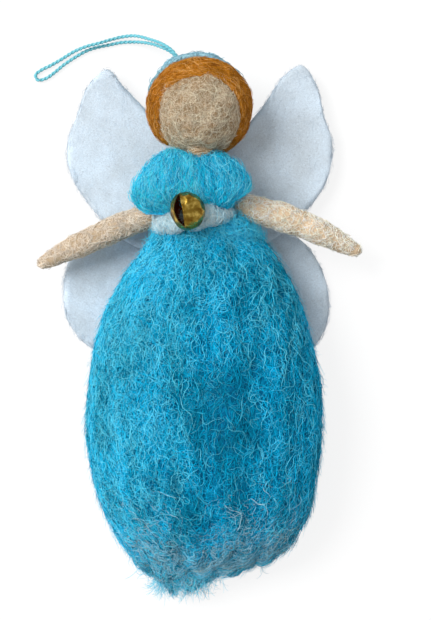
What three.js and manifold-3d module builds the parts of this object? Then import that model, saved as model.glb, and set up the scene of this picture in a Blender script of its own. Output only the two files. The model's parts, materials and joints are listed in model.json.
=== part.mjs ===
// Wool angel ornament, lying on its back on a flat surface.
// Millimetres. +X is the viewer's right, +Y points to the head, +Z up to the viewer.
// The origin is on the surface, under the middle of the waist.
import * as THREE from "three";
import { mergeVertices } from "three/addons/utils/BufferGeometryUtils.js";
import Module from "manifold-3d";

const wasm = await Module();
wasm.setup();

// Clearances
const GAP = 0.35;
const WELD = 0.0001;

// Head, hair, hood and neck
const HEAD_DIAMETER = 31.8;
const HAIR_THICKNESS = 1.6;
const HAIR_EDGE = 0.2;
const HAIR_CROWN_SHARE = 0.7;
const HAIR_FRONT_ANGLE = 57;
const HAIR_BACK_ANGLE = 17;
const HAIR_TUCK_ANGLE = 74;
const HAIR_LEFT_END = 136;
const HAIR_RIGHT_END = 146;
const HAIR_FADE = 0.565;
const HOOD_THICKNESS = 1.9;
const HOOD_SETBACK = 6;
const HOOD_TILT = 32;
const HOOD_NAPE_CUT = 12;
const NECK_DIAMETER = 8;
const NECK_LENGTH = 3.9;

// Wings of stiff felt, flat on the surface, the upper pair stacked on the lower pair
const FELT_THICKNESS = 3;
const FELT_ROUNDING = 1.1;
const UPPER_WING_SPAN = 88.4;
const UPPER_WING_RISE = 51;
const LOWER_WING_SPAN = 89;
const LOWER_WING_DROP = 47;

// Body: the core, the bodice wool over it and the sash round the waist
const TORSO_TOP = 16;
const TORSO_WIDTH = 21.6;
const TORSO_DEPTH = 17.2;
const TORSO_TUCK = 12;
const CHEST_FRONT = 14.8;
const BODICE_LEFT_REACH = 22.6;
const BODICE_RIGHT_REACH = 17.6;
const BODICE_CREASE_TOP = -1.4;
const BODICE_CREASE_LOW = 3.4;
const BODICE_WOOL = 10;
const BODICE_SQUARENESS = 0.9;
const SHOULDER_RISE = 20.4;
const BELT_SIDE_ROOM = 1.6;
const BELT_FRONT_ROOM = 0.6;
const BELT_HEIGHT = 5.6;
const BELT_THICKNESS = 2.6;
const BELT_SHIFT = -1;
const BELT_DROP = 0.9;
const BELT_TILT = 5;

// Skirt
const SKIRT_TOP = 2.6;
const SKIRT_LENGTH = 121.4;
const SKIRT_WIDTH = 79.5;
const SKIRT_DEPTH = 36;
const SKIRT_SPLIT = 0.42;
const SKIRT_FRONT_ROUNDING = 0.8;
const SKIRT_BACK_ROUNDING = 0.5;
const FOLD_DEPTH = 0.9;
const SKIRT_FRONT_POINTS = 32;
const SKIRT_BACK_POINTS = 14;

// Arms, measured from the shoulder pivot outwards
const ARM_LENGTH = 38.4;
const ARM_DIAMETER = 8.4;
const ARM_TAPER = 0.5;
const ARM_TAPER_POWER = 5;
const ARM_RAISE = 40;
const ARM_LOWER = 8;
const LEFT_SHOULDER_OUT = 6.8;
const LEFT_SHOULDER_RISE = 0.1;
const LEFT_SHOULDER_LIFT = -6;
const RIGHT_SHOULDER_OUT = 4;
const RIGHT_SHOULDER_RISE = 3;
const RIGHT_SHOULDER_LIFT = 1;
const LEFT_ARM_DROOP = 23.4;
const RIGHT_ARM_DROOP = 20.6;
const LEFT_ARM_BOW = 0.4;
const RIGHT_ARM_BOW = 1.5;
const LEFT_ARM_FALL = 2;
const RIGHT_ARM_FALL = 6;

// Wires
const SPINE_WIRE_DIAMETER = 1.6;
const SPINE_WIRE_TAIL = 22;
const ARM_WIRE_DIAMETER = 1.2;
const ARM_WIRE_REACH = 0.85;

// Bell, its staple, pellet and thread
const BELL_WIDTH = 11.3;
const BELL_HEIGHT = 12.7;
const BELL_WALL = 0.6;
const BELL_LEAN = 39;
const SLOT_LENGTH = 11.2;
const SLOT_WIDTH = 2.66;
const SLOT_TURN = 11;
const STAPLE_WIRE = 0.8;
const STAPLE_WIDTH = 2.3;
const STAPLE_REACH = 1.4;
const PELLET_DIAMETER = 3.8;
const THREAD_DIAMETER = 0.7;
const THREAD_SPREAD = 4.4;
const BELL_SHIFT = 0.5;
const BELL_RISE = 0.9;
const BELL_STAND = 0.3;
const BELL_SWING = 62;

// Hanging cord and the stitches that hold the wings
const CORD_DIAMETER = 1.3;
const KNOT_DIAMETER = 3.2;
const KNOT_ANGLE = 24;
const KNOT_SETBACK = 5.7;
const STITCH_WIDTH = 7;
const STITCH_LEG = 3;
const UPPER_STITCH_RISE = 13;
const LOWER_STITCH_DROP = 8;

// Heights worked out from the sizes above
const HEAD_RADIUS = HEAD_DIAMETER / 2;
const BODY_LEVEL = HEAD_RADIUS + GAP + HOOD_THICKNESS + GAP / 3;
const WING_TOP = 2 * FELT_THICKNESS + GAP;
const HEAD_RISE = TORSO_TOP + NECK_LENGTH + HEAD_RADIUS;
const HEAD_CENTRE = new THREE.Vector3(0, HEAD_RISE, BODY_LEVEL);
const WAIST_WIDTH_SHARE = 0.9;
const WAIST_DEPTH_SHARE = 0.93;
const STAPLE_ROOM = 0.6 * GAP;
const BELT_WIDTH = WAIST_WIDTH_SHARE * TORSO_WIDTH + 2 * (BELT_SIDE_ROOM + BELT_THICKNESS);
const BELT_DEPTH = WAIST_DEPTH_SHARE * TORSO_DEPTH + 2 * (BELT_FRONT_ROOM + BELT_THICKNESS);

// Wing outlines from the top of the spine round the left wing and back by the right wing,
// as shares of half the span and of the rise or drop.
const UPPER_WING_OUTLINE = [
  [0, 0.4], [-0.22, 0.49], [-0.42, 0.71], [-0.575, 0.85], [-0.7, 0.965], [-0.85, 0.855],
  [-0.92, 0.69], [-1, 0.49], [-0.985, 0.3], [-0.82, 0.06], [-0.5, -0.19], [0, -0.24],
  [0.5, -0.17], [0.81, 0.05], [0.96, 0.25], [0.995, 0.49], [0.93, 0.68], [0.885, 0.85],
  [0.77, 0.995], [0.64, 0.93], [0.46, 0.71], [0.23, 0.5],
];
const LOWER_WING_OUTLINE = [
  [0, 0.13], [-0.4, 0.05], [-0.78, -0.13], [-0.98, -0.3], [-1.03, -0.55], [-0.99, -0.75],
  [-0.84, -0.92], [-0.55, -1.02], [-0.27, -0.9], [0, -0.74], [0.27, -0.9], [0.55, -1],
  [0.84, -0.93], [0.955, -0.74], [0.955, -0.5], [0.9, -0.34], [0.78, -0.18], [0.4, 0.05],
];

// Core stations from its tail to its top: place as a share of the tuck below the waist or of the
// height above it, then width and depth as shares of the largest.
const TORSO_STATIONS = [
  [-1, 0.55, 0.62], [-0.5, 0.83, 0.87], [0, WAIST_WIDTH_SHARE, WAIST_DEPTH_SHARE],
  [0.4, 1, 1], [0.7, 0.97, 0.97], [0.9, 0.7, 0.76], [1, 0.42, 0.5],
];

// Bodice stations from the front of the waist over the shoulder and down the back: share of the
// rise, place between back and front, half thickness as a share of the wool, reach of the left
// and of the right bundle as a share of the widest, and what the inner edge lies against.
const BODICE_STATIONS = [
  [0.1, 0.87, 0.22, 0.8, 0.52, "low"],
  [0.26, 0.96, 0.4, 0.99, 0.68, "low"],
  [0.5, 1, 0.5, 0.95, 0.97, "middle"],
  [0.79, 0.85, 0.44, 0.76, 0.84, "top"],
  [0.83, 0.55, 0.34, 0.58, 0.64, "neck"],
  [0.7, 0.22, 0.29, 0.6, 0.76, "neck"],
  [0.42, 0, 0.24, 0.5, 0.63, "spine"],
  [0, 0, 0.24, 0.5, 0.63, "spine"],
];

// Skirt stations from waist to hem: share of the length, left and right reach as shares of half
// the width, front as a share of the depth, and whether the back lies on felt.
const ON_TWO_FELTS = 2;
const ON_ONE_FELT = 1;
const ON_SURFACE = 0;
const SKIRT_STATIONS = [
  [0, 0.34, 0.31, 0.76, ON_TWO_FELTS],
  [0.08, 0.51, 0.58, 0.84, ON_TWO_FELTS],
  [0.17, 0.7, 0.78, 0.92, ON_ONE_FELT],
  [0.275, 0.845, 0.89, 0.97, ON_ONE_FELT],
  [0.42, 0.935, 0.995, 1, ON_ONE_FELT],
  [0.55, 0.965, 1.02, 1, ON_SURFACE],
  [0.68, 0.915, 0.975, 0.95, ON_SURFACE],
  [0.77, 0.83, 0.93, 0.87, ON_SURFACE],
  [0.84, 0.725, 0.825, 0.77, ON_SURFACE],
  [0.895, 0.625, 0.73, 0.65, ON_SURFACE],
  [0.94, 0.53, 0.58, 0.5, ON_SURFACE],
  [0.978, 0.44, 0.23, 0.34, ON_SURFACE],
  [1, 0.33, 0.03, 0.22, ON_SURFACE],
];

// Folds down the front of the skirt: waves in a full turn, start, drift from waist to hem and part.
const FOLD_WAVES = [[13, 1.1, 1.5, 0.6], [19, 0.4, -2.2, 0.4]];

// Route of the hanging cord from the knot round the loop and back to the knot.
const CORD_ROUTE = [
  [-7.1, 52, 13.4], [-9.2, 54.7, 13.2], [-12.2, 57, 11.2], [-16.8, 59.2, 6.8], [-21.9, 60.8, 3],
  [-26, 60.7, 1.3], [-30, 59.7, 1.7], [-34, 58.4, 2.7], [-37.9, 57.4, 2.5], [-42.4, 55.7, 1.3],
  [-46.8, 53.1, 0.8], [-50.5, 51, 0.8], [-53.5, 49.5, 0.8], [-55.3, 47.9, 0.8], [-54.6, 46.3, 0.8],
  [-52, 46.7, 0.8], [-48.5, 49.1, 0.8], [-46, 51.2, 0.8], [-42, 53.9, 0.8], [-38.2, 56, 0.8],
  [-35, 57.1, 0.8], [-30.7, 58, 0.8], [-26.6, 58.8, 0.8], [-21.9, 58.9, 1.6], [-17.6, 58.2, 4.6],
  [-13.8, 56.8, 8.2], [-9.6, 54.5, 11], [-7.1, 52, 11.6],
];

// Colours
const CREAM_WOOL = 0xd8c2a4;
const GOLDEN_WOOL = 0xb8741a;
const HOOD_BLUE = 0x5fa9cb;
const WHITE_FELT = 0xdce6f2;
const BODICE_BLUE = 0x25a5dc;
const SKIRT_BLUE = 0x1f9ac8;
const SASH_WHITE = 0xd5e6f0;
const BRASS = 0xa9852b;
const STEEL = 0x9a9a98;
const AQUA_CORD = 0x7fe3ee;
const WHITE_THREAD = 0xe4e6e4;

const degrees = THREE.MathUtils.degToRad;

// Solids from geometry, and geometry back from solids
function toSolid(geometry, matrix = new THREE.Matrix4()) {
  const bare = geometry.clone();
  bare.deleteAttribute("normal");
  bare.deleteAttribute("uv");
  bare.applyMatrix4(matrix);
  const merged = mergeVertices(bare, WELD);
  const vertProperties = Float32Array.from(merged.attributes.position.array);
  const triVerts = Uint32Array.from(merged.index.array);
  return new wasm.Manifold(new wasm.Mesh({ numProp: 3, vertProperties, triVerts }));
}

function toGeometry(solid) {
  const { vertProperties, triVerts } = solid.getMesh();
  const geometry = new THREE.BufferGeometry();
  geometry.setAttribute("position", new THREE.BufferAttribute(vertProperties, 3));
  geometry.setIndex(new THREE.BufferAttribute(triVerts, 1));
  geometry.computeVertexNormals();
  return geometry;
}

function cut(solid, ...tools) {
  return tools.reduce((rest, tool) => rest.subtract(tool), solid);
}

function join(solids) {
  return solids.reduce((whole, solid) => whole.add(solid));
}

function piece(name, solid, color, roughness, metalness = 0) {
  const material = new THREE.MeshStandardMaterial({ color, roughness, metalness });
  const mesh = new THREE.Mesh(toGeometry(solid), material);
  mesh.name = name;
  return mesh;
}

// Closed skin through rings of equal count, with a fan over each end unless the rings close up.
function loft(rings, closed = false) {
  const count = rings[0].length;
  const points = rings.flat();
  const faces = [];
  const strips = closed ? rings.length : rings.length - 1;
  for (let ring = 0; ring < strips; ring += 1) {
    const here = ring * count;
    const there = ((ring + 1) % rings.length) * count;
    for (let i = 0; i < count; i += 1) {
      const j = (i + 1) % count;
      faces.push(here + i, here + j, there + j, here + i, there + j, there + i);
    }
  }
  if (!closed) {
    addFan(points, faces, 0, count, true);
    addFan(points, faces, (rings.length - 1) * count, count, false);
  }
  const geometry = new THREE.BufferGeometry().setFromPoints(points);
  geometry.setIndex(signedVolume(points, faces) < 0 ? faces.reverse() : faces);
  return geometry;
}

function addFan(points, faces, first, count, reversed) {
  const middle = new THREE.Vector3();
  for (let i = 0; i < count; i += 1) {
    middle.addScaledVector(points[first + i], 1 / count);
  }
  const hub = points.push(middle) - 1;
  for (let i = 0; i < count; i += 1) {
    const here = first + i;
    const next = first + ((i + 1) % count);
    faces.push(...(reversed ? [hub, next, here] : [hub, here, next]));
  }
}

function signedVolume(points, faces) {
  let volume = 0;
  for (let i = 0; i < faces.length; i += 3) {
    const [a, b, c] = [points[faces[i]], points[faces[i + 1]], points[faces[i + 2]]];
    volume += a.dot(new THREE.Vector3().crossVectors(b, c));
  }
  return volume;
}

// Ring of points on an ellipse spanned by two half axes, squarer as its power falls below 1
function ellipseRing(centre, across, along, sides, power = 1) {
  const squared = (value) => Math.sign(value) * Math.abs(value) ** power;
  return Array.from({ length: sides }, (_, i) => {
    const angle = (2 * Math.PI * i) / sides;
    const point = centre.clone().addScaledVector(across, squared(Math.cos(angle)));
    return point.addScaledVector(along, squared(Math.sin(angle)));
  });
}

function ball(centre, radii, sides = 24, rows = 15) {
  const matrix = new THREE.Matrix4().makeTranslation(centre).scale(radii);
  return toSolid(new THREE.SphereGeometry(1, sides, rows), matrix);
}

function roundBall(centre, radius, sides, rows) {
  return ball(centre, new THREE.Vector3(radius, radius, radius), sides, rows);
}

// Tube of constant section along a curve, with flat ends
function tube(curve, radius, steps, sides = 8) {
  const section = new THREE.Shape();
  for (let i = 0; i < sides; i += 1) {
    const angle = (2 * Math.PI * i) / sides;
    const [x, y] = [radius * Math.cos(angle), radius * Math.sin(angle)];
    if (i === 0) {
      section.moveTo(x, y);
    } else {
      section.lineTo(x, y);
    }
  }
  return toSolid(new THREE.ExtrudeGeometry(section, { steps, extrudePath: curve }));
}

// Head
function headShape(grow = 0) {
  return roundBall(HEAD_CENTRE, HEAD_RADIUS + grow);
}

// Point over the head: turn from the crown, tilt from the side towards the face, height over it.
function overHead(turn, tilt, height) {
  const radius = HEAD_RADIUS + height;
  const offset = new THREE.Vector3(
    Math.cos(tilt) * Math.sin(turn),
    Math.cos(tilt) * Math.cos(turn),
    Math.sin(tilt),
  );
  return offset.multiplyScalar(radius).add(HEAD_CENTRE);
}

// Band of roving from jaw to jaw: it is broad over the crown and fades along the cheeks.
function hairShape(grow = 0) {
  const steps = 26;
  const arcPoints = 6;
  const spread = grow / HEAD_RADIUS;
  const rings = [];
  for (let step = 0; step <= steps; step += 1) {
    const turn = degrees(THREE.MathUtils.lerp(-HAIR_LEFT_END, HAIR_RIGHT_END, step / steps));
    const front = degrees(HAIR_FRONT_ANGLE) * Math.cos(HAIR_FADE * turn) + spread;
    const back = degrees(HAIR_BACK_ANGLE - HAIR_TUCK_ANGLE * Math.sin(turn / 2) ** 2) - spread;
    const thickness = HAIR_THICKNESS * THREE.MathUtils.lerp(HAIR_CROWN_SHARE, 1, Math.sin(turn) ** 2);
    const ring = [];
    for (let i = 0; i <= arcPoints; i += 1) {
      const share = i / arcPoints;
      const height = GAP + HAIR_EDGE + thickness * Math.sin(Math.PI * share) + grow;
      ring.push(overHead(turn, THREE.MathUtils.lerp(back, front, share), height));
    }
    for (let i = arcPoints; i >= 0; i -= 1) {
      ring.push(overHead(turn, THREE.MathUtils.lerp(back, front, i / arcPoints), -GAP));
    }
    rings.push(ring);
  }
  return toSolid(loft(rings));
}

// Cap of wool behind the hair, from the crown to the nape, with its front edge tilted forward
function hoodShape() {
  const outside = HEAD_RADIUS + GAP + HOOD_THICKNESS;
  const size = 4 * outside;
  const box = new THREE.BoxGeometry(size, size, size);
  const rim = new THREE.Matrix4().makeTranslation(0, HEAD_RISE, BODY_LEVEL - HOOD_SETBACK);
  rim.multiply(new THREE.Matrix4().makeRotationX(degrees(HOOD_TILT)));
  rim.multiply(new THREE.Matrix4().makeTranslation(0, 0, size / 2));
  const nape = new THREE.Matrix4().makeTranslation(0, HEAD_RISE - HOOD_NAPE_CUT - size / 2, BODY_LEVEL);
  return cut(roundBall(HEAD_CENTRE, outside), headShape(GAP), toSolid(box, rim), toSolid(box, nape));
}

function neckShape(grow = 0) {
  const radius = NECK_DIAMETER / 2 + grow;
  const length = NECK_LENGTH + HEAD_RADIUS - GAP;
  const matrix = new THREE.Matrix4().makeTranslation(0, TORSO_TOP + GAP + length / 2, BODY_LEVEL);
  const post = toSolid(new THREE.CylinderGeometry(radius, radius, length, 20), matrix);
  return cut(post, headShape(GAP));
}

// Wings
function wingShape(outline, halfSpan, height, base, grow = 0) {
  const points = outline.map(([x, y]) => new THREE.Vector3(x * halfSpan, y * height, 0));
  const smooth = new THREE.CatmullRomCurve3(points, true, "centripetal").getPoints(2 * points.length);
  const shape = new THREE.Shape(smooth.slice(0, -1).map(({ x, y }) => new THREE.Vector2(x, y)));
  const felt = new THREE.ExtrudeGeometry(shape, {
    depth: FELT_THICKNESS - 2 * FELT_ROUNDING + 2 * grow,
    bevelThickness: FELT_ROUNDING,
    bevelSize: FELT_ROUNDING,
    bevelOffset: grow - FELT_ROUNDING,
    bevelSegments: 2,
  });
  return toSolid(felt, new THREE.Matrix4().makeTranslation(0, 0, base + FELT_ROUNDING - grow));
}

function upperWingShape(grow = 0) {
  const base = FELT_THICKNESS + GAP;
  return wingShape(UPPER_WING_OUTLINE, UPPER_WING_SPAN / 2, UPPER_WING_RISE, base, grow);
}

function lowerWingShape(grow = 0) {
  return wingShape(LOWER_WING_OUTLINE, LOWER_WING_SPAN / 2, LOWER_WING_DROP, 0, grow);
}

// Thread staple through the felt: a run on the back of the wings and two legs into the body
function stitchShape(along, back, top, grow = 0) {
  const half = STITCH_WIDTH / 2;
  const bottom = back + THREAD_DIAMETER / 2 + GAP;
  const bend = THREAD_DIAMETER;
  const route = [
    [-half, top + grow], [-half, bottom + 2 * bend], [-half + bend, bottom], [0, bottom],
    [half - bend, bottom], [half, bottom + 2 * bend], [half, top + grow],
  ];
  const points = route.map(([x, z]) => new THREE.Vector3(x, along, z));
  return tube(new THREE.CatmullRomCurve3(points, false, "centripetal"), THREAD_DIAMETER / 2 + grow, 14);
}

function upperStitchShape(grow = 0) {
  return stitchShape(UPPER_STITCH_RISE, FELT_THICKNESS + GAP, WING_TOP + STITCH_LEG, grow);
}

function lowerStitchShape(grow = 0) {
  return stitchShape(-LOWER_STITCH_DROP, 0, WING_TOP + STITCH_LEG, grow);
}

// Body core, an oval spindle along the spine
function torsoShape(grow = 0) {
  const rings = TORSO_STATIONS.map(([share, wide, deep]) => {
    const along = share * ((share < 0 ? TORSO_TUCK : TORSO_TOP) + (Math.abs(share) < 1 ? 0 : grow));
    const across = new THREE.Vector3((wide * TORSO_WIDTH) / 2 + grow, 0, 0);
    const up = new THREE.Vector3(0, 0, (deep * TORSO_DEPTH) / 2 + grow);
    return ellipseRing(new THREE.Vector3(0, along, BODY_LEVEL), across, up, 20);
  });
  return toSolid(loft(rings));
}

// One bundle of wool from the front of the waist over the shoulder and down the back.
// Side is -1 for the left bundle and 1 for the right one.
function bodiceShape(side) {
  const away = (side * GAP) / 2;
  const front = BODY_LEVEL + CHEST_FRONT - BODICE_WOOL / 2;
  const back = WING_TOP + GAP + BODICE_STATIONS.at(-1)[2] * BODICE_WOOL;
  const innerEdge = {
    low: BODICE_CREASE_LOW + away,
    middle: (BODICE_CREASE_LOW + BODICE_CREASE_TOP) / 2 + away,
    top: BODICE_CREASE_TOP + away,
    neck: side * (NECK_DIAMETER / 2 + GAP),
    spine: away,
  };
  const stations = BODICE_STATIONS.map(([rise, place, thickness, left, right, edge]) => [
    rise * SHOULDER_RISE,
    THREE.MathUtils.lerp(back, front, place),
    innerEdge[edge],
    side < 0 ? left * BODICE_LEFT_REACH : right * BODICE_RIGHT_REACH,
    thickness * BODICE_WOOL,
  ]);
  const path = new THREE.CatmullRomCurve3(
    stations.map(([along, level]) => new THREE.Vector3(0, along, level)),
    false,
    "centripetal",
  );
  const rings = [];
  const steps = 2 * (stations.length - 1);
  for (let step = 0; step <= steps; step += 1) {
    const share = step / steps;
    const place = share * (stations.length - 1);
    const index = Math.min(Math.floor(place), stations.length - 2);
    const blend = THREE.MathUtils.smoothstep(place - index, 0, 1);
    const between = (column) =>
      THREE.MathUtils.lerp(stations[index][column], stations[index + 1][column], blend);
    const inner = between(2);
    const outer = side * between(3);
    const centre = path.getPoint(share).setX((inner + outer) / 2);
    const normal = path.getTangent(share).cross(new THREE.Vector3(-1, 0, 0));
    const across = new THREE.Vector3((outer - inner) / 2, 0, 0);
    rings.push(ellipseRing(centre, across, normal.multiplyScalar(between(4)), 14, BODICE_SQUARENESS));
  }
  return toSolid(loft(rings));
}

// Sash: an oval ring round the waist, lower on the left
function beltShape(grow = 0) {
  const steps = 28;
  const rings = [];
  for (let step = 0; step < steps; step += 1) {
    const angle = (2 * Math.PI * step) / steps;
    const out = new THREE.Vector3(Math.cos(angle), 0, Math.sin(angle));
    const x = ((BELT_WIDTH - BELT_THICKNESS) / 2) * out.x;
    const z = ((BELT_DEPTH - BELT_THICKNESS) / 2) * out.z;
    const y = x * Math.tan(degrees(BELT_TILT)) - BELT_DROP;
    const centre = new THREE.Vector3(x + BELT_SHIFT, y, z + BODY_LEVEL);
    const along = new THREE.Vector3(0, BELT_HEIGHT / 2 + grow, 0);
    rings.push(ellipseRing(centre, out.multiplyScalar(BELT_THICKNESS / 2 + grow), along, 8));
  }
  return toSolid(loft(rings, true));
}

// Skirt halves: the front is domed, the back is flat where it lies on the felt or the surface.
// Face is 1 for the front half and -1 for the back half.
function skirtShape(face) {
  const arcPoints = face > 0 ? SKIRT_FRONT_POINTS : SKIRT_BACK_POINTS;
  const rounding = face > 0 ? SKIRT_FRONT_ROUNDING : SKIRT_BACK_ROUNDING;
  const half = SKIRT_WIDTH / 2;
  const rings = SKIRT_STATIONS.map(([share, left, right, front, felts]) => {
    const low = felts * (FELT_THICKNESS + GAP) + (felts > 0 ? GAP : GAP / 2);
    const top = front * SKIRT_DEPTH;
    const split = THREE.MathUtils.lerp(low, top, SKIRT_SPLIT);
    const middle = ((right - left) * half) / 2;
    const reach = ((right + left) * half) / 2;
    const height = face > 0 ? top - split : split - low;
    return Array.from({ length: arcPoints + 1 }, (_, i) => {
      const angle = (Math.PI * i) / arcPoints;
      const dome = Math.abs(Math.sin(angle)) ** rounding * height + GAP / 2;
      const rise = face > 0 ? dome + foldHeight(angle, share) : dome;
      const along = -SKIRT_TOP - share * SKIRT_LENGTH;
      return new THREE.Vector3(middle + reach * Math.cos(angle), along, split + face * rise);
    });
  });
  return toSolid(loft(rings));
}

// Height of the folds over the skirt's front: they fade out at the sides, the waist and the hem.
function foldHeight(angle, share) {
  const wave = FOLD_WAVES.reduce((sum, [waves, start, drift, part]) => (
    sum + part * Math.cos(waves * angle + start + drift * share)
  ), 0);
  return FOLD_DEPTH * wave * Math.sin(angle) * Math.sqrt(Math.abs(Math.sin(Math.PI * share)));
}

// Arms in their own frame: the shoulder pivot at the origin, the arm along +X, the bow along +Y.
function armCurve(bow, fall) {
  return new THREE.QuadraticBezierCurve3(
    new THREE.Vector3(0, 0, 0),
    new THREE.Vector3(ARM_LENGTH / 2, 2 * bow, -fall / 2),
    new THREE.Vector3(ARM_LENGTH, 0, -fall),
  );
}

function armShape(bow, fall, grow = 0, sides = 10, steps = 8) {
  const curve = armCurve(bow, fall);
  const domeSteps = 3;
  const radiusAt = (share) => (ARM_DIAMETER / 2) * (1 - ARM_TAPER * share ** ARM_TAPER_POWER) + grow;
  const rings = [];
  const addRing = (share, offset, radius) => {
    const tangent = curve.getTangent(share);
    const across = new THREE.Vector3(0, 0, 1).cross(tangent).normalize();
    const up = tangent.clone().cross(across);
    const centre = curve.getPoint(share).addScaledVector(tangent, offset);
    rings.push(ellipseRing(centre, across.multiplyScalar(radius), up.multiplyScalar(radius), sides));
  };
  const addDome = (share, angleOf) => {
    for (let step = 1; step <= domeSteps; step += 1) {
      const angle = angleOf(step / (domeSteps + 1));
      addRing(share, radiusAt(share) * Math.sin(angle), radiusAt(share) * Math.cos(angle));
    }
  };
  addDome(0, (share) => (-Math.PI / 2) * (1 - share));
  for (let step = 0; step <= steps; step += 1) {
    addRing(step / steps, 0, radiusAt(step / steps));
  }
  addDome(1, (share) => (Math.PI / 2) * share);
  return toSolid(loft(rings));
}

function armWireShape(bow, fall, grow = 0) {
  const curve = armCurve(bow, fall);
  const inner = -ARM_DIAMETER / 2 - grow;
  const shares = [0, ARM_WIRE_REACH / 3, (2 * ARM_WIRE_REACH) / 3, ARM_WIRE_REACH];
  const points = shares.map((share) => curve.getPoint(share));
  points.at(-1).addScaledVector(curve.getTangent(ARM_WIRE_REACH), grow);
  points.unshift(curve.getTangent(0).multiplyScalar(inner));
  return tube(new THREE.CatmullRomCurve3(points), ARM_WIRE_DIAMETER / 2 + grow, 12);
}

// Arm sides: where the shoulder is and which way the arm points
const ARMS = {
  left: {
    shoulder: new THREE.Vector3(
      -TORSO_WIDTH / 2 - LEFT_SHOULDER_OUT,
      LEFT_SHOULDER_RISE,
      BODY_LEVEL + LEFT_SHOULDER_LIFT,
    ),
    heading: 180 + LEFT_ARM_DROOP,
    raise: -1,
    bow: -LEFT_ARM_BOW,
    fall: LEFT_ARM_FALL,
  },
  right: {
    shoulder: new THREE.Vector3(
      TORSO_WIDTH / 2 + RIGHT_SHOULDER_OUT,
      RIGHT_SHOULDER_RISE,
      BODY_LEVEL + RIGHT_SHOULDER_LIFT,
    ),
    heading: -RIGHT_ARM_DROOP,
    raise: 1,
    bow: RIGHT_ARM_BOW,
    fall: RIGHT_ARM_FALL,
  },
};

// Room that an arm sweeps from its lowest to its highest place, with clearance
function armRoom({ shoulder, heading, raise, bow, fall }) {
  const copies = 4;
  const arm = toGeometry(armShape(bow, fall, GAP, 10, 4));
  const swept = Array.from({ length: copies + 1 }, (_, i) => {
    const angle = heading + raise * THREE.MathUtils.lerp(-ARM_LOWER, ARM_RAISE, i / copies);
    const matrix = new THREE.Matrix4().makeTranslation(shoulder);
    return toSolid(arm, matrix.multiply(new THREE.Matrix4().makeRotationZ(degrees(angle))));
  });
  return join(swept);
}

// Room for the round end of an arm, which turns in place
function shoulderRoom({ shoulder }) {
  return roundBall(shoulder, ARM_DIAMETER / 2 + GAP, 16, 10);
}

// Wires in the body
function spineWireShape(grow = 0) {
  const tail = new THREE.Vector3(0, -SPINE_WIRE_TAIL - grow, BODY_LEVEL);
  const end = HEAD_CENTRE.clone().setY(HEAD_RISE + grow);
  return tube(new THREE.LineCurve3(tail, end), SPINE_WIRE_DIAMETER / 2 + grow, 1);
}

function shoulderWireShape(grow = 0) {
  const from = ARMS.left.shoulder.clone();
  const to = ARMS.right.shoulder.clone();
  const along = to.clone().sub(from).normalize();
  const setIn = ARM_DIAMETER / 2 + GAP - grow;
  from.addScaledVector(along, setIn);
  to.addScaledVector(along, -setIn);
  return tube(new THREE.LineCurve3(from, to), ARM_WIRE_DIAMETER / 2 + grow, 1);
}

// Bell in its own frame: its middle at the origin, the slot up along +Z, the staple down.
const BELL_RADII = new THREE.Vector3(BELL_WIDTH / 2, BELL_HEIGHT / 2, BELL_WIDTH / 2);
const STAPLE_BELOW = BELL_WIDTH / 2 + STAPLE_REACH;

function slotShape() {
  const half = SLOT_LENGTH / 2;
  const lens = new THREE.Shape();
  lens.moveTo(0, -half);
  lens.quadraticCurveTo(SLOT_WIDTH, 0, 0, half);
  lens.quadraticCurveTo(-SLOT_WIDTH, 0, 0, -half);
  const prism = new THREE.ExtrudeGeometry(lens, {
    depth: BELL_WIDTH,
    bevelEnabled: false,
    curveSegments: 10,
  });
  return toSolid(prism, new THREE.Matrix4().makeRotationZ(degrees(SLOT_TURN)));
}

function bellShape() {
  const inside = BELL_RADII.clone().addScalar(-BELL_WALL);
  const centre = new THREE.Vector3();
  const shell = cut(ball(centre, BELL_RADII), ball(centre, inside, 16, 10));
  return cut(shell, slotShape(), stapleShape(STAPLE_ROOM));
}

function stapleShape(grow = 0) {
  const half = STAPLE_WIDTH / 2;
  const legEnd = BELL_WALL - BELL_WIDTH / 2 + GAP;
  const eye = -STAPLE_BELOW;
  const bottom = eye - (THREAD_DIAMETER + STAPLE_WIRE) / 2 - GAP;
  const route = [
    [-half, legEnd + grow], [-half, (legEnd + eye) / 2], [-half, eye], [-0.6 * half, bottom + 0.2 * half],
    [0, bottom], [0.6 * half, bottom + 0.2 * half], [half, eye], [half, (legEnd + eye) / 2],
    [half, legEnd + grow],
  ];
  const points = route.map(([x, z]) => new THREE.Vector3(x, 0, z));
  return tube(new THREE.CatmullRomCurve3(points), STAPLE_WIRE / 2 + grow, 20);
}

// The bell hangs from the thread's top, in front of the sash
const BELL_HINGE = new THREE.Vector3(BELL_SHIFT, BELL_RISE, BODY_LEVEL + BELT_DEPTH / 2 + BELL_STAND);
const BELL_TURN = new THREE.Matrix4().makeRotationY(-degrees(BELL_LEAN));
const BELL_CENTRE = new THREE.Vector3(0, 0, STAPLE_BELOW).applyMatrix4(BELL_TURN).add(BELL_HINGE);
const PELLET_DROP = (BELL_WIDTH - PELLET_DIAMETER) / 2 - BELL_WALL - GAP;

function pelletShape() {
  const centre = BELL_CENTRE.clone().setZ(BELL_CENTRE.z - PELLET_DROP);
  return roundBall(centre, PELLET_DIAMETER / 2, 14, 8);
}

// Room that the bell sweeps from its lean on the left to the end of its swing, with clearance
function bellRoom() {
  const copies = 3;
  const radii = BELL_RADII.clone().addScalar(GAP);
  const swept = Array.from({ length: copies + 1 }, (_, i) => {
    const lean = degrees(BELL_LEAN - (BELL_SWING * i) / copies);
    const place = new THREE.Vector3(-Math.sin(lean), 0, Math.cos(lean)).multiplyScalar(STAPLE_BELOW);
    return ball(place.add(BELL_HINGE), radii, 16, 10);
  });
  return join(swept);
}

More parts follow.
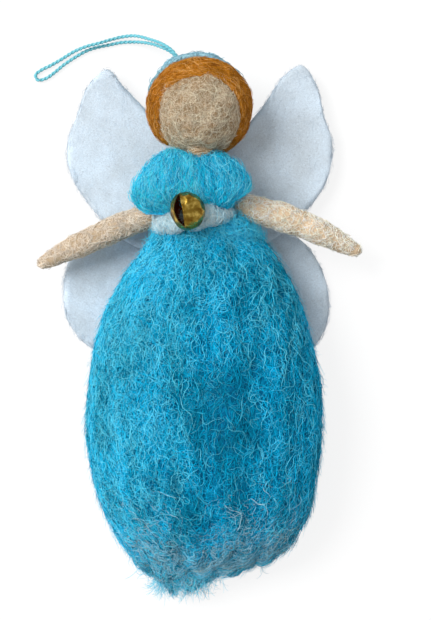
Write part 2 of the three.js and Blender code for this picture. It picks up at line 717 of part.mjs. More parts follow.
// Hollow in the sash for the staple's eye to turn in
function eyeRoom() {
  const radius = (THREAD_DIAMETER + STAPLE_WIRE) / 2 + STAPLE_WIRE / 2 + 2 * GAP;
  const length = STAPLE_WIRE + 2 * GAP;
  const matrix = new THREE.Matrix4().makeTranslation(BELL_HINGE);
  return toSolid(new THREE.CylinderGeometry(radius, radius, length, 16), matrix);
}

// Ring of thread through the staple's eye and the sash
function threadShape(grow = 0) {
  const steps = 16;
  const depth = BELL_STAND + BELT_THICKNESS;
  const centre = BELL_HINGE.clone().setZ(BELL_HINGE.z - depth / 2);
  const radius = THREAD_DIAMETER / 2 + grow;
  const rings = Array.from({ length: steps }, (_, step) => {
    const angle = (2 * Math.PI * step) / steps;
    const out = new THREE.Vector3(0, Math.cos(angle), Math.sin(angle));
    const place = new THREE.Vector3(0, (out.y * THREAD_SPREAD) / 2, (out.z * depth) / 2).add(centre);
    return ellipseRing(place, out.multiplyScalar(radius), new THREE.Vector3(radius, 0, 0), 8);
  });
  return toSolid(loft(rings, true));
}

// Hanging cord and its knot in a pocket under the hood
const KNOT_CENTRE = overHead(-degrees(KNOT_ANGLE), 0, -KNOT_DIAMETER / 4);
KNOT_CENTRE.z -= KNOT_SETBACK;

function knotShape(grow = 0) {
  return roundBall(KNOT_CENTRE, KNOT_DIAMETER / 2 + grow, 12, 8);
}

function cordShape(grow = 0) {
  const points = CORD_ROUTE.map((place) => new THREE.Vector3(...place));
  return tube(new THREE.CatmullRomCurve3(points, false, "centripetal"), CORD_DIAMETER / 2 + grow, 48);
}

// Assembly
const spineBore = spineWireShape(GAP);
const shoulderBore = shoulderWireShape(GAP);
const leftRoom = armRoom(ARMS.left);
const rightRoom = armRoom(ARMS.right);
const torsoRoom = torsoShape(GAP);
const beltRoom = beltShape(GAP);
const hairRoom = hairShape(GAP);
const feltRoom = join([upperWingShape(GAP), lowerWingShape(GAP)]);
const stitchRoom = join([upperStitchShape(GAP), lowerStitchShape(GAP)]);
const cordRoom = join([cordShape(GAP), knotShape(GAP)]);
const threadRoom = join([threadShape(GAP), eyeRoom()]);
const shoulderRooms = join([shoulderRoom(ARMS.left), shoulderRoom(ARMS.right)]);

function headGroup() {
  const group = new THREE.Group();
  group.add(
    piece("head", cut(headShape(), spineBore, cordRoom), CREAM_WOOL, 0.95),
    piece("hair", cut(hairShape(), headShape(GAP)), GOLDEN_WOOL, 0.85),
    piece("hood", cut(hoodShape(), hairRoom, cordRoom, feltRoom), HOOD_BLUE, 0.95),
    piece("neck", cut(neckShape(), spineBore), CREAM_WOOL, 0.95),
    piece("cord_knot", cut(knotShape(), cordShape(GAP)), AQUA_CORD, 0.7),
    piece("hang_cord", cordShape(), AQUA_CORD, 0.7),
  );
  return group;
}

function bodyGroup() {
  const group = new THREE.Group();
  const bodiceRooms = [torsoRoom, headShape(GAP), hairRoom, beltRoom, leftRoom, rightRoom];
  bodiceRooms.push(neckShape(GAP), feltRoom, stitchRoom, threadRoom, shoulderBore, bellRoom());
  const skirtRooms = [torsoRoom, beltRoom, leftRoom, rightRoom, spineBore, feltRoom, stitchRoom];
  const core = cut(torsoShape(), spineBore, shoulderBore, shoulderRooms);
  const sash = cut(beltShape(), shoulderRooms, threadRoom, shoulderBore, feltRoom);
  group.add(
    piece("torso_core", core, CREAM_WOOL, 0.95),
    piece("spine_wire", spineWireShape(), STEEL, 0.4, 1),
    piece("shoulder_wire", shoulderWireShape(), STEEL, 0.4, 1),
    piece("bodice_left", cut(bodiceShape(-1), ...bodiceRooms), BODICE_BLUE, 0.95),
    piece("bodice_right", cut(bodiceShape(1), ...bodiceRooms), BODICE_BLUE, 0.95),
    piece("belt", sash, SASH_WHITE, 0.95),
    piece("skirt_front", cut(skirtShape(1), ...skirtRooms), SKIRT_BLUE, 0.95),
    piece("skirt_back", cut(skirtShape(-1), ...skirtRooms), SKIRT_BLUE, 0.95),
  );
  return group;
}

function wingGroup() {
  const group = new THREE.Group();
  group.add(
    piece("upper_wings", cut(upperWingShape(), stitchRoom), WHITE_FELT, 0.95),
    piece("lower_wings", cut(lowerWingShape(), stitchRoom), WHITE_FELT, 0.95),
    piece("wing_stitch_upper", upperStitchShape(), WHITE_THREAD, 0.8),
    piece("wing_stitch_lower", lowerStitchShape(), WHITE_THREAD, 0.8),
  );
  return group;
}

function armGroup(side) {
  const { shoulder, heading, bow, fall } = ARMS[side];
  const group = new THREE.Group();
  const wool = cut(armShape(bow, fall), armWireShape(bow, fall, GAP));
  group.add(piece(`arm_${side}`, wool, CREAM_WOOL, 0.95));
  group.add(piece(`arm_wire_${side}`, armWireShape(bow, fall), STEEL, 0.4, 1));
  group.position.copy(shoulder);
  group.rotation.z = degrees(heading);
  return group;
}

function bellGroup() {
  const group = new THREE.Group();
  group.add(piece("bell_shell", bellShape(), BRASS, 0.35, 1));
  group.add(piece("bell_loop", stapleShape(), BRASS, 0.35, 1));
  group.position.copy(BELL_CENTRE);
  group.rotation.y = -degrees(BELL_LEAN);
  return group;
}

const angel = new THREE.Group();
angel.add(headGroup(), bodyGroup(), wingGroup(), armGroup("left"), armGroup("right"), bellGroup());
angel.add(piece("bell_pellet", pelletShape(), STEEL, 0.4, 1));
angel.add(piece("bell_thread", threadShape(), WHITE_THREAD, 0.8));

export default angel;
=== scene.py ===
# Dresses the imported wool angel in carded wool, felt, roving, cord and brass, lying on a white surface.
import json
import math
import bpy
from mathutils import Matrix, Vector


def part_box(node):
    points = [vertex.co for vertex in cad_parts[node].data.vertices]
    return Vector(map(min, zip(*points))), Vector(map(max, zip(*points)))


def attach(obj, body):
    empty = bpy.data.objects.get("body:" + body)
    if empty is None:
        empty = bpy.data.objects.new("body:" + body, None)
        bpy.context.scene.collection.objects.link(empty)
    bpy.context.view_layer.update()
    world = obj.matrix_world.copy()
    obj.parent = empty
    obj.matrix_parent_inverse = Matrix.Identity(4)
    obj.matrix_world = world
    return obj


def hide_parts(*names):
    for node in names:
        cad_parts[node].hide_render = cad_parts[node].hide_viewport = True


bl_info = {
    "name": "Wool angel ornament",
    "version": (1, 0, 0),
    "blender": (4, 5, 0),
    "location": "View3D > Sidebar > Wool angel",
    "description": "Dresses the wool angel in carded wool, felt, roving, cord and brass",
    "category": "Object",
}

import bpy
import numpy as np

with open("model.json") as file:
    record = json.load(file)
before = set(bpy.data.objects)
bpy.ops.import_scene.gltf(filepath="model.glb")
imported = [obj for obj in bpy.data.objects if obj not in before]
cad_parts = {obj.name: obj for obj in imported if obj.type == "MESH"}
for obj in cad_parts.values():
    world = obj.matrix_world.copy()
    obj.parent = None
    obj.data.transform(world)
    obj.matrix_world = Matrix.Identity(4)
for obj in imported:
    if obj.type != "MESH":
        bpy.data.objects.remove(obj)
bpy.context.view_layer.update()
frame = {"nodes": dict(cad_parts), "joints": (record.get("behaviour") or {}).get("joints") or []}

# Lengths below are millimetres, and angles are degrees where nothing else is said. Meshes are in metres.
MM = 0.001
FULL_TURN = math.tau
FLOOR_CLEARANCE = 0.12

# Guard against division by zero, and the radians that keep a skin's end rows off its poles
TINY = 1e-9
POLE_GAP = 0.02


def node_box(node):
    """Lowest and highest corner of a CAD node in millimetres."""
    low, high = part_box(node)
    return np.array(low) / MM, np.array(high) / MM


def joint_place(name):
    """Pivot of a joint in millimetres."""
    joint = next(joint for joint in frame["joints"] if joint["name"] == name)
    return np.array(joint["pos_m"]) / MM


# Head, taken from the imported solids
HEAD_LOW, HEAD_HIGH = node_box("head")
HEAD_CENTRE = (HEAD_LOW + HEAD_HIGH) / 2
HEAD_RADIUS = (HEAD_HIGH[0] - HEAD_LOW[0]) / 2
BODY_LEVEL = HEAD_CENTRE[2]
SEAT = 0.35

# Hair: angles over the head, as in the solid
HAIR_LEFT_END, HAIR_RIGHT_END = -140, 151
HAIR_FRONT_ANGLE, HAIR_BACK_ANGLE, HAIR_TUCK_ANGLE = 55.5, 17, 74
HAIR_FADE = 0.565
HAIR_THICKNESS, HAIR_UNDERSIDE = 1.2, -0.3
HAIR_CROWN_SHARE, HAIR_RIGHT_THINNING = 0.7, 0.35
HAIR_ROUNDNESS = 0.7

# Radians between the hair's front edge and the curls of the face
FACE_MARGIN = 0.08

# Hood, with its pole gap in radians
HOOD_THICKNESS = 1.45
HOOD_SETBACK, HOOD_TILT, HOOD_NAPE_CUT = 6, 32, 12
HOOD_FLAT, HOOD_FLAT_SIDE, HOOD_SHIFT = 0.5, 35, -0.4
HOOD_RIM_SHARE, HOOD_SINK, HOOD_POLE_GAP = 0.1, 0.1, 0.015

# Neck and body
NECK_RADIUS, NECK_FORWARD, NECK_WAIST = 3.8, 4.5, 0.06
NECK_IN_BODY, NECK_IN_HEAD = 1, 1.5
TORSO_TOP = node_box("torso_core")[1][1]
TORSO_WIDTH, TORSO_DEPTH, TORSO_TUCK = 21.6, 17.2, 12
CHEST_FRONT = 14.8
BODICE_LEFT_REACH, BODICE_RIGHT_REACH = 21.8, 16.8
BODICE_CREASE_TOP, BODICE_CREASE_LOW = -1.4, 3.4
BODICE_OVERLAP = 2.4
BODICE_LEFT_SAG, BODICE_RIGHT_RISE = 1.5, 0.95
BODICE_WOOL = 9.6
SHOULDER_RISE = 19.8

# Torso stations along the body: height, and shares of the width and of the depth
TORSO_STATIONS = [
    (-TORSO_TUCK, 0.55, 0.62), (-TORSO_TUCK / 2, 0.83, 0.87), (0, 0.9, 0.93), (0.4 * TORSO_TOP, 1, 1),
    (0.7 * TORSO_TOP, 0.97, 0.97), (0.9 * TORSO_TOP, 0.7, 0.76), (TORSO_TOP, 0.42, 0.5),
]

# Bodice stations from the front of the waist over the shoulder: share of the rise, place between
# back and front, half thickness as a share of the wool, left and right reach, and the inner edge.
BODICE_STATIONS = [
    (0.1, 0.87, 0.22, 0.8, 0.52, "low"),
    (0.26, 0.96, 0.4, 0.99, 0.68, "low"),
    (0.5, 1, 0.5, 0.95, 0.97, "middle"),
    (0.79, 0.85, 0.44, 0.74, 0.75, "top"),
    (0.83, 0.55, 0.34, 0.58, 0.58, "neck"),
    (0.7, 0.22, 0.29, 0.6, 0.76, "neck"),
    (0.42, 0, 0.24, 0.5, 0.63, "spine"),
    (0, 0, 0.2, 0.5, 0.63, "spine"),
]

# Sash
BELT_LOW, BELT_HIGH = node_box("belt")
BELT_HEIGHT, BELT_THICKNESS = 5.6, 2.6
BELT_DROP, BELT_TILT = 0.9, 5
BELT_PUFF, BELT_RIGHT_PUFF = 3, 0.3
BELT_RIGHT_SHARE, BELT_SIDE_ROOM = 0.52, 0.7

# Skirt stations from waist to hem: share of the length, left and right reach, top and bottom.
SKIRT_TOP, SKIRT_LENGTH = 2.6, 121.4
HEM_LINE = -SKIRT_TOP - SKIRT_LENGTH
SKIRT_HALF, SKIRT_DEPTH, SKIRT_SPLIT = 39.75, 36, 0.42
SKIRT_FUZZ, SKIRT_SHIFT = 1.6, 0.3
SKIRT_RIGHT_RISE, SKIRT_RISE_WIDTH, SKIRT_RISE_SHARE = 3.8, 10, 0.15
SKIRT_FRONT_ROUNDNESS, SKIRT_BACK_ROUNDNESS = 0.8, 0.5
FOLD_DEPTH = 0.9
FOLD_WAVES = [(13, 1.1, 1.5, 0.6), (19, 0.4, -2.2, 0.4)]
TWO_FELTS, ONE_FELT, NO_FELT = 7.05, 3.7, 0.1
SKIRT_STATIONS = [
    (0, 0.34, 0.31, 0.76, TWO_FELTS),
    (0.08, 0.51, 0.58, 0.84, TWO_FELTS),
    (0.17, 0.7, 0.78, 0.92, ONE_FELT),
    (0.275, 0.845, 0.89, 0.97, ONE_FELT),
    (0.42, 0.935, 0.995, 1, ONE_FELT),
    (0.55, 0.965, 1.02, 1, NO_FELT),
    (0.68, 0.915, 0.975, 0.95, NO_FELT),
    (0.77, 0.83, 0.93, 0.87, NO_FELT),
    (0.84, 0.735, 0.835, 0.77, NO_FELT),
    (0.895, 0.64, 0.735, 0.65, NO_FELT),
    (0.93, 0.565, 0.63, 0.54, NO_FELT),
    (0.95, 0.51, 0.46, 0.47, NO_FELT),
    (0.97, 0.45, 0.21, 0.39, NO_FELT),
    (1, 0.34, 0.02, 0.24, NO_FELT),
]

# Ragged hem: place across, width and drop of its notch and its tuft, and where along the skirt it starts
HEM_DETAILS = [(18.6, 1.6, -3.2), (-13, 1.2, 1.5)]
HEM_DETAIL_START, HEM_DETAIL_RUN = 0.91, 0.04
HEM_RAGGED, HEM_RAGGED_WIDTH, HEM_RAGGED_SEED, HEM_FRINGE = 0.6, 3.5, 44, 2
HEM_RAGGED_START, HEM_RAGGED_RUN = 0.82, 0.1
HEM_WISPS = [(-13, 1.5), (-4, 7), (20, 2), (24, 2)]

# Wings: outlines as shares of half the span and of the rise or drop
FELT_THICKNESS, FELT_ROUNDED, FELT_SQUARENESS = 3, 2.2, 0.6
UPPER_WING_BASE = FELT_THICKNESS + SEAT
UPPER_WING_SIZE = (44.2, 51)
LOWER_WING_SIZE = (44.5, 47)
UPPER_WING_OUTLINE = [
    (0, 0.4), (-0.22, 0.49), (-0.42, 0.71), (-0.575, 0.85), (-0.7, 0.965), (-0.85, 0.855),
    (-0.92, 0.69), (-1, 0.49), (-0.985, 0.3), (-0.82, 0.06), (-0.5, -0.19), (0, -0.24),
    (0.5, -0.17), (0.81, 0.05), (0.96, 0.25), (0.995, 0.49), (0.93, 0.68), (0.885, 0.85),
    (0.77, 0.995), (0.64, 0.93), (0.46, 0.71), (0.23, 0.5),
]
LOWER_WING_OUTLINE = [
    (0, 0.13), (-0.4, 0.05), (-0.78, -0.13), (-0.98, -0.3), (-1.03, -0.55), (-0.99, -0.75),
    (-0.84, -0.92), (-0.55, -1.02), (-0.27, -0.9), (0, -0.74), (0.27, -0.9), (0.55, -1),
    (0.84, -0.93), (0.955, -0.74), (0.955, -0.5), (0.9, -0.34), (0.78, -0.18), (0.4, 0.05),
]
WINGS = {
    "upper": {"outline": UPPER_WING_OUTLINE, "size": UPPER_WING_SIZE, "base": UPPER_WING_BASE, "seed": 80},
    "lower": {"outline": LOWER_WING_OUTLINE, "size": LOWER_WING_SIZE, "base": 0, "seed": 85},
}

# Arms from their shoulder pivots: length, heading, bow and fall along the length, and their painted light:
# the right arm's wool is painted brighter and the left's darker, for the key lamp's light and shade
ARM_RADIUS, ARM_TAPER, ARM_TAPER_POWER = 4.1, 0.5, 5
ARMS = {
    "left": {"length": 37.4, "heading": 204, "bow": -0.4, "fall": 2, "swell": 0, "painted_light": 0.88, "seed": 60},
    "right": {
        "length": 38.9, "heading": -21.2, "bow": 1.5, "fall": 6, "swell": 0.35, "painted_light": 1.18, "seed": 65,
    },
}

# Bell, with the dents' angle and the lip's width in radians
BELL_HINGE = joint_place("bell_swing")
BELL_RADIUS, BELL_HALF_HEIGHT, BELL_WALL = 5.65, 6.35, 0.6
BELL_LEAN, BELL_STAND_OFF = 39, 7.05
SLOT_HALF_LENGTH, SLOT_HALF_WIDTH = 5.7, 1.6
SLOT_TURN, SLOT_LEAN = 11, 31
LIP_FLARE, LIP_WIDTH, LIP_ROLL = 0.2, 0.09, 1.012
BELL_DENTS, DENT_ANGLE, DENT_SCATTER, DENT_SEED = 40, 0.29, 0.07, 70
INSIDE_DENTS = 0.6

# Hanging cord: its route from the knot round the loop and back, and its plies as shares of its diameter
CORD_DIAMETER, CORD_PITCH = 1.2, 3
PLY_OFFSET, PLY_RADIUS = 0.17, 0.33
WEAR_STRETCHES = 40.0
KNOT_STRAND = 0.45
CORD_ROUTE = [
    (-7.1, 52, 13.4), (-9.2, 54.7, 13.2), (-12.2, 57, 11.2), (-16.8, 59.2, 6.8), (-21.9, 60.8, 3),
    (-26, 60.7, 1.3), (-30, 59.7, 1.7), (-34, 58.4, 2.7), (-37.9, 57.4, 2.5), (-42.4, 55.7, 1.3),
    (-46.8, 53.1, 0.8), (-50.5, 51, 0.8), (-53.5, 49.5, 0.8), (-55.3, 47.9, 0.8), (-54.6, 46.3, 0.8),
    (-52, 46.7, 0.8), (-48.5, 49.1, 0.8), (-46, 51.2, 0.8), (-42, 53.9, 0.8), (-38.2, 56, 0.8),
    (-35, 57.1, 0.8), (-30.7, 58, 0.8), (-26.6, 58.8, 0.8), (-21.9, 58.9, 1.6), (-17.6, 58.2, 4.6),
    (-13.8, 56.8, 8.2), (-9.6, 54.5, 11), (-7.1, 52, 11.6),
]

# Bumps that make each surface uneven: height, width and seed
HEAD_BUMPS = [(0.22, 8, 1), (0.09, 2.2, 2), (0.05, 1.1, 3)]
NECK_BUMPS = [(0.12, 2, 4), (0.06, 0.9, 5)]
HAIR_BUMPS = [(0.12, 4, 10), (0.06, 1.5, 11)]
HOOD_BUMPS = [(0.18, 3, 6), (0.1, 1.3, 7)]
TORSO_BUMPS = [(0.15, 3, 8), (0.08, 1.2, 9)]
BODICE_STREAKS, BODICE_BUMPS = [(0.16, 3.2, 20), (0.1, 1.5, 22)], [(0.15, 7, 24)]
BELT_STREAKS, BELT_BUMPS = [(0.22, 1.6, 30)], [(0.3, 6, 31)]
SKIRT_STREAKS = [(0.3, 3.4, 42), (0.16, 1.5, 43)]
WING_BUMPS = [(0.2, 14, 0), (0.04, 4, 1)]
ARM_BUMPS = [(0.14, 6, 0), (0.05, 2, 1)]
BELL_BUMPS = [(0.08, 3.4, 71)]

# Combed wool: how much closer together its streaks are across, along and up
BODICE_COMB, BELT_COMB, SKIRT_COMB = (1, 0.3, 0.6), (0.35, 1, 0.35), (1, 0.4, 1)

# Layout of the meshes for baking, and a direction that hardly any strand follows
LAYOUT_MARGIN, CELL_MARGIN = 0.02, 0.15
STRAND_REFERENCE = (0.36, 0.48, 0.8)

# Mix nodes: settings of one that multiplies colours, and the sockets for colours
MULTIPLY = {"data_type": "RGBA", "blend_type": "MULTIPLY", "Factor": 1.0}
MIX_ONE, MIX_OTHER, MIXED = 6, 7, 2

# Stage
CAMERA_PLACE = (5.1, -31)
SENSOR_WIDTH = 36
KEY_SPREAD, KEY_TILT, KEY_SWING = 36, 45, -120
SURFACE_HALF = 3000
PAPER_BOUNCE, PAPER_GLOW = 0.55, 0.82

# Colours of small parts
THREAD_TONES = ("#B9BCB9", "#E4E6E4", "#F4F5F4")
CORD_DARK, CORD_PALE = "#2F9DB0", "#A2E4EA"
SASH_BLUISH = "#A2DCF0"
THIN_HEM = "#7FB0C2"
BRASS_BROWN, BRASS_BRIGHT = "#6E4E18", "#DEBE64"
TARNISH_DARK, TARNISH_PALE = "#5E2010", "#A0502C"
STEEL_DARK, STEEL_PALE = "#7E7E7C", "#B4B4B0"
UNDYED_WOOL = [(0, "#BAB5A6"), (0.1, "#9ACAD6"), (0.4, "#66C6E8"), (1, "#CAEEF8")]


def linear(code):
    """Linear red, green and blue of an sRGB hex value."""
    channels = [int(code[i:i + 2], 16) / 255 for i in (1, 3, 5)]
    return tuple(c / 12.92 if c <= 0.04045 else ((c + 0.055) / 1.055) ** 2.4 for c in channels)


def colour(name, description, code):
    """Colour that a user can change, with its sRGB default."""
    return bpy.props.FloatVectorProperty(
        name=name, description=description, subtype="COLOR", min=0, max=1, default=linear(code)
    )


class WoolAngelColours(bpy.types.PropertyGroup):
    """Colours of the wools, the felt, the cord and the brass"""

    skirt_dark: colour("Skirt, deep", "Blue between the tufts of the skirt", "#00648E")
    skirt: colour("Skirt", "Blue of the skirt's carded wool", "#04B0DC")
    skirt_pale: colour("Skirt, pale", "Palest loose fibres of the skirt", "#6EE6FE")
    bodice_dark: colour("Bodice, deep", "Blue between the fibres of the bodice", "#0694D2")
    bodice: colour("Bodice", "Blue of the bodice's carded wool", "#12CAFA")
    bodice_pale: colour("Bodice, pale", "Palest loose fibres of the bodice", "#8CE6FF")
    cream_dark: colour("Cream, deep", "Shaded hollows of the cream wool", "#94744C")
    cream: colour("Cream", "Cream wool of the face", "#BF9F77")
    cream_pale: colour("Cream, pale", "Palest curls of the cream wool", "#F8EBD2")
    hair_dark: colour("Hair, deep", "Darkest strands of the roving", "#92501A")
    hair: colour("Hair", "Golden brown of the roving", "#DE9228")
    hair_pale: colour("Hair, pale", "Palest strands of the roving", "#FACA80")
    arm: colour("Arms", "Paler cream wool of the arms", "#E9DBCA")
    arm_deep: colour("Arms, deep", "Tan wool between the curls of the arms", "#D4B894")
    hood: colour("Hood", "Muted blue of the hood", "#98C6D6")
    felt: colour("Felt", "White of the wing felt", "#CBD9E5")
    sash: colour("Sash", "White wool of the sash", "#E2F8FF")
    brass: colour("Brass", "Polished brass of the bell", "#90742C")
    cord: colour("Cord", "Aqua of the hanging cord", "#64B8C6")


class WoolAngelFibres(bpy.types.PropertyGroup):
    """Sizes of the loose fibres"""

    thickness: bpy.props.FloatProperty(
        name="Fibre thickness", description="Thickness of a loose fibre, coarse enough to show",
        unit="LENGTH", default=0.0002, min=0.00005, max=0.001, precision=5,
    )
    length: bpy.props.FloatProperty(
        name="Fibre length", description="Usual length of a loose fibre on the skirt",
        unit="LENGTH", default=0.011, min=0.002, max=0.03,
    )
    amount: bpy.props.FloatProperty(
        name="Amount", description="Share of the full number of loose fibres",
        subtype="FACTOR", default=1, min=0.05, max=1,
    )
    seed: bpy.props.IntProperty(
        name="Seed", description="Start of the chance that lays the fibres", default=7, min=0,
    )


class WoolAngelStage(bpy.types.PropertyGroup):
    """Camera and light"""

    camera_height: bpy.props.FloatProperty(
        name="Camera height", description="Height of the camera over the surface",
        unit="LENGTH", default=0.815, min=0.2, max=5,
    )
    lens: bpy.props.FloatProperty(
        name="Lens", description="Focal length of the camera in millimetres",
        default=140.76, min=20, max=400,
    )
    room_level: bpy.props.FloatProperty(
        name="Room light", description="Level of the light from all round", default=0.65, min=0, max=2,
    )
    key_level: bpy.props.FloatProperty(
        name="Key light", description="Level that the key lamp adds on a level surface",
        default=0.66, min=0, max=2,
    )


# Numbers to shapes


def waves(points, width, seed, count=28):
    """Smooth random field with features of about that width and a spread of about 1."""
    chance = np.random.default_rng(seed)
    heading = chance.normal(size=(count, 3))
    heading /= np.linalg.norm(heading, axis=1, keepdims=True)
    tightness = math.pi / width * chance.uniform(0.6, 1.4, (count, 1))
    phase = chance.uniform(0, FULL_TURN, count)
    angles = points @ (heading * tightness).T + phase
    return np.sin(angles).sum(axis=-1) * math.sqrt(2 / count)


def bumps(points, table, seed=0):
    """Height over each point of the bumps in a table, whose seeds are counted from the given one."""
    return sum(height * waves(points, width, seed + own_seed) for height, width, own_seed in table)


def lengths(vectors):
    return np.linalg.norm(vectors, axis=-1)


def surface(x, y, z):
    """Points from coordinates that broadcast together."""
    return np.stack(np.broadcast_arrays(x, y, z), axis=-1)


def turned(points, angle):
    """Points turned about the upright axis through the origin."""
    cosine, sine = math.cos(math.radians(angle)), math.sin(math.radians(angle))
    x, y, z = np.moveaxis(points, -1, 0)
    return surface(x * cosine - y * sine, x * sine + y * cosine, z)


def travelled_along(points):
    """Distance along a line of points to each of them."""
    return np.concatenate(([0], np.cumsum(lengths(np.diff(points, axis=0)))))


def spread_evenly(points, count):
    """That many points at even distances along a line of points."""
    travelled = travelled_along(points)
    wanted = np.linspace(0, travelled[-1], count)
    columns = [np.interp(wanted, travelled, points[:, axis]) for axis in range(points.shape[1])]
    return np.stack(columns, axis=1)


def smooth_path(points, count, closed=False):
    """Even points along a centripetal Catmull-Rom curve through the given points."""
    knots = np.asarray(points, float)
    if closed:
        knots = np.vstack((knots[-1:], knots, knots[:2]))
    else:
        knots = np.vstack((2 * knots[0] - knots[1], knots, 2 * knots[-1] - knots[-2]))
    runs = []
    for a, b, c, d in zip(knots, knots[1:], knots[2:], knots[3:]):
        first = math.sqrt(lengths(b - a))
        second = first + math.sqrt(lengths(c - b))
        third = second + math.sqrt(lengths(d - c))
        t = np.linspace(first, second, 16, endpoint=False)[:, None]
        ab = a + (b - a) * t / first
        bc = b + (c - b) * (t - first) / (second - first)
        cd = c + (d - c) * (t - second) / (third - second)
        abc = ab + (bc - ab) * t / second
        bcd = bc + (cd - bc) * (t - first) / (third - first)
        runs.append(abc + (bcd - abc) * (t - first) / (second - first))
    return spread_evenly(np.vstack(runs + [knots[-2]]), count)


def read_stations(stations, shares):
    """Columns of a station table read at the given shares, on a smooth curve through them."""
    table = np.asarray(stations, float)
    known = table[:, 0]
    slope = np.gradient(table, known, axis=0)
    index = np.clip(np.searchsorted(known, shares) - 1, 0, len(known) - 2)
    width = (known[index + 1] - known[index])[:, None]
    t = (shares[:, None] - known[index][:, None]) / width
    rise = t * t * (3 - 2 * t)
    bend = width * t * (1 - t) * ((1 - t) * slope[index] - t * slope[index + 1])
    return table[index] * (1 - rise) + table[index + 1] * rise + bend


def side_and_up(along, reference):
    """Two directions square to each step along a line and to each other."""
    along = along / np.maximum(lengths(along)[..., None], TINY)
    side = np.cross(along, reference)
    side = side / np.maximum(lengths(side)[..., None], TINY)
    return side, np.cross(side, along)


def rings_round(path, side, up, radius, sides):
    """Rings of points round a path."""
    turns = np.linspace(0, FULL_TURN, sides, endpoint=False)[:, None]
    return path[:, None] + (side[:, None] * np.cos(turns) + up[:, None] * np.sin(turns)) * radius


class Skin:
    """Surface as a grid of points: rows run along the piece and columns run round it."""

    def __init__(self, points, ring=False):
        self.points = points
        self.ring = ring
        self.measure()

    def measure(self):
        """Works out the steps across and down, the normals and the area of each cell."""
        points = self.points
        self.across = (np.roll(points, -1, axis=1) - np.roll(points, 1, axis=1)) / 2
        if self.ring:
            self.down = (np.roll(points, -1, axis=0) - np.roll(points, 1, axis=0)) / 2
        else:
            self.down = np.gradient(points, axis=0)
        normals = np.cross(self.across, self.down)
        self.area = lengths(normals)
        normals /= np.maximum(self.area[..., None], TINY)
        outward = points - points.mean(axis=1, keepdims=True)
        self.normals = normals if (outward * normals).sum() > 0 else -normals

    def swell(self, amount):
        """Moves each point out along its normal, and keeps it over the surface that the part lies on."""
        self.points = self.points + self.normals * amount[..., None]
        self.points[..., 2] = np.maximum(self.points[..., 2], FLOOR_CLEARANCE)
        self.measure()

    def scatter(self, count, chance, keep):
        """Random places as row and column, evenly by area and by the weight that keep gives."""
        weight = self.area * keep(self.points)
        weight = (weight / weight.sum()).ravel()
        cell = chance.choice(weight.size, count, p=weight)
        columns = self.points.shape[1]
        place = np.stack((cell // columns, cell % columns), axis=1).astype(float)
        return place + chance.uniform(-0.5, 0.5, (count, 2))

    def read(self, place):
        """Points, normals and the steps down and across at places given as row and column."""
        rows, columns = self.points.shape[:2]
        row = place[:, 0] % rows if self.ring else np.clip(place[:, 0], 0, rows - 1.001)
        column = place[:, 1] % columns
        above = row.astype(int) % rows
        below = (above + 1) % rows
        left = column.astype(int) % columns
        right = (left + 1) % columns
        sink = (row - np.floor(row))[:, None]
        slide = (column - np.floor(column))[:, None]

        def between(grid):
            top = grid[above, left] * (1 - slide) + grid[above, right] * slide
            low = grid[below, left] * (1 - slide) + grid[below, right] * slide
            return top * (1 - sink) + low * sink

        down = between(self.down)
        beyond = 0 if self.ring else (place[:, 0] - row)[:, None]
        return between(self.points) + beyond * down, between(self.normals), down, between(self.across)


def everywhere(points):
    return np.ones(points.shape[:-1])


def comb_fibres(skin, count, chance, length, heading=0.0, spread=0.4, curl=0.6, lift=0.4, loose=0.08,
                reach=1.5, keep=everywhere, steps=9, overhang=4):
    """Paths of curly fibres laid on a skin.

    Heading, spread and curl are radians, and heading 0 runs down the rows. Lift is how high a fibre arches.
    Loose is the share of fibres that stand off the skin by up to reach at their ends.
    """
    place = skin.scatter(count, chance, keep)
    stride = length * chance.uniform(0.5, 1.35, count) / (steps - 1)
    start = heading + chance.normal(0, spread, count)
    bend = chance.normal(0, curl, (3, count))
    phase = chance.uniform(0, FULL_TURN, (3, count))
    height = lift * chance.uniform(0.1, 1, count)
    stray = np.where(chance.random(count) < loose, reach * chance.uniform(0.3, 1, count), 0)
    end = len(skin.points) - 1 + overhang * chance.random(count)
    smallest_cell = 0.12
    paths = np.empty((count, steps, 3))
    for step in range(steps):
        share = step / (steps - 1)
        point, normal, down, across = skin.read(place)
        rise = height * math.sin(math.pi * share) + stray * share ** 2
        paths[:, step] = point + normal * rise[:, None]
        turn = start.copy()
        for i in range(3):
            turn += bend[i] / (i + 1) * np.sin(FULL_TURN * share * (i + 0.7) + phase[i])
        place[:, 0] += stride * np.cos(turn) / np.maximum(lengths(down), smallest_cell)
        place[:, 1] += stride * np.sin(turn) / np.maximum(lengths(across), smallest_cell)
        if not skin.ring:
            place[:, 0] = np.minimum(place[:, 0], end)
    paths[..., 2] = np.maximum(paths[..., 2], FLOOR_CLEARANCE)
    return paths


def hang_wisps(skin, count, chance, length, keep, steps=11):
    """Paths of thin wisps that leave a skin near its hem and trail on past it."""
    point, normal = skin.read(skin.scatter(count, chance, keep))[:2]
    stride = length * chance.uniform(0.5, 1.3, count) / (steps - 1)
    start = 0.25 * normal[:, 0] + chance.normal(0, 0.35, count)
    bend = chance.normal(0, 1.2, (2, count))
    sink = -chance.uniform(0, 0.4, count)
    paths = np.empty((count, steps, 3))
    for step in range(steps):
        share = step / (steps - 1)
        paths[:, step] = point
        turn = start + bend[0] * share + bend[1] * share ** 2
        way = np.stack((np.sin(turn), -np.cos(turn), sink), axis=1)
        point = point + way * stride[:, None]
    paths[..., 2] = np.maximum(paths[..., 2], FLOOR_CLEARANCE)
    return paths


# Where loose fibres grow: the weight of each point


def on_face(points):
    """The face, in front of the hair."""
    x, y, z = np.moveaxis((points - HEAD_CENTRE) / HEAD_RADIUS, -1, 0)
    front = hair_edges(np.arctan2(x, y))[0]
    return (np.arcsin(np.clip(z, -1, 1)) > front + FACE_MARGIN) * 1.0


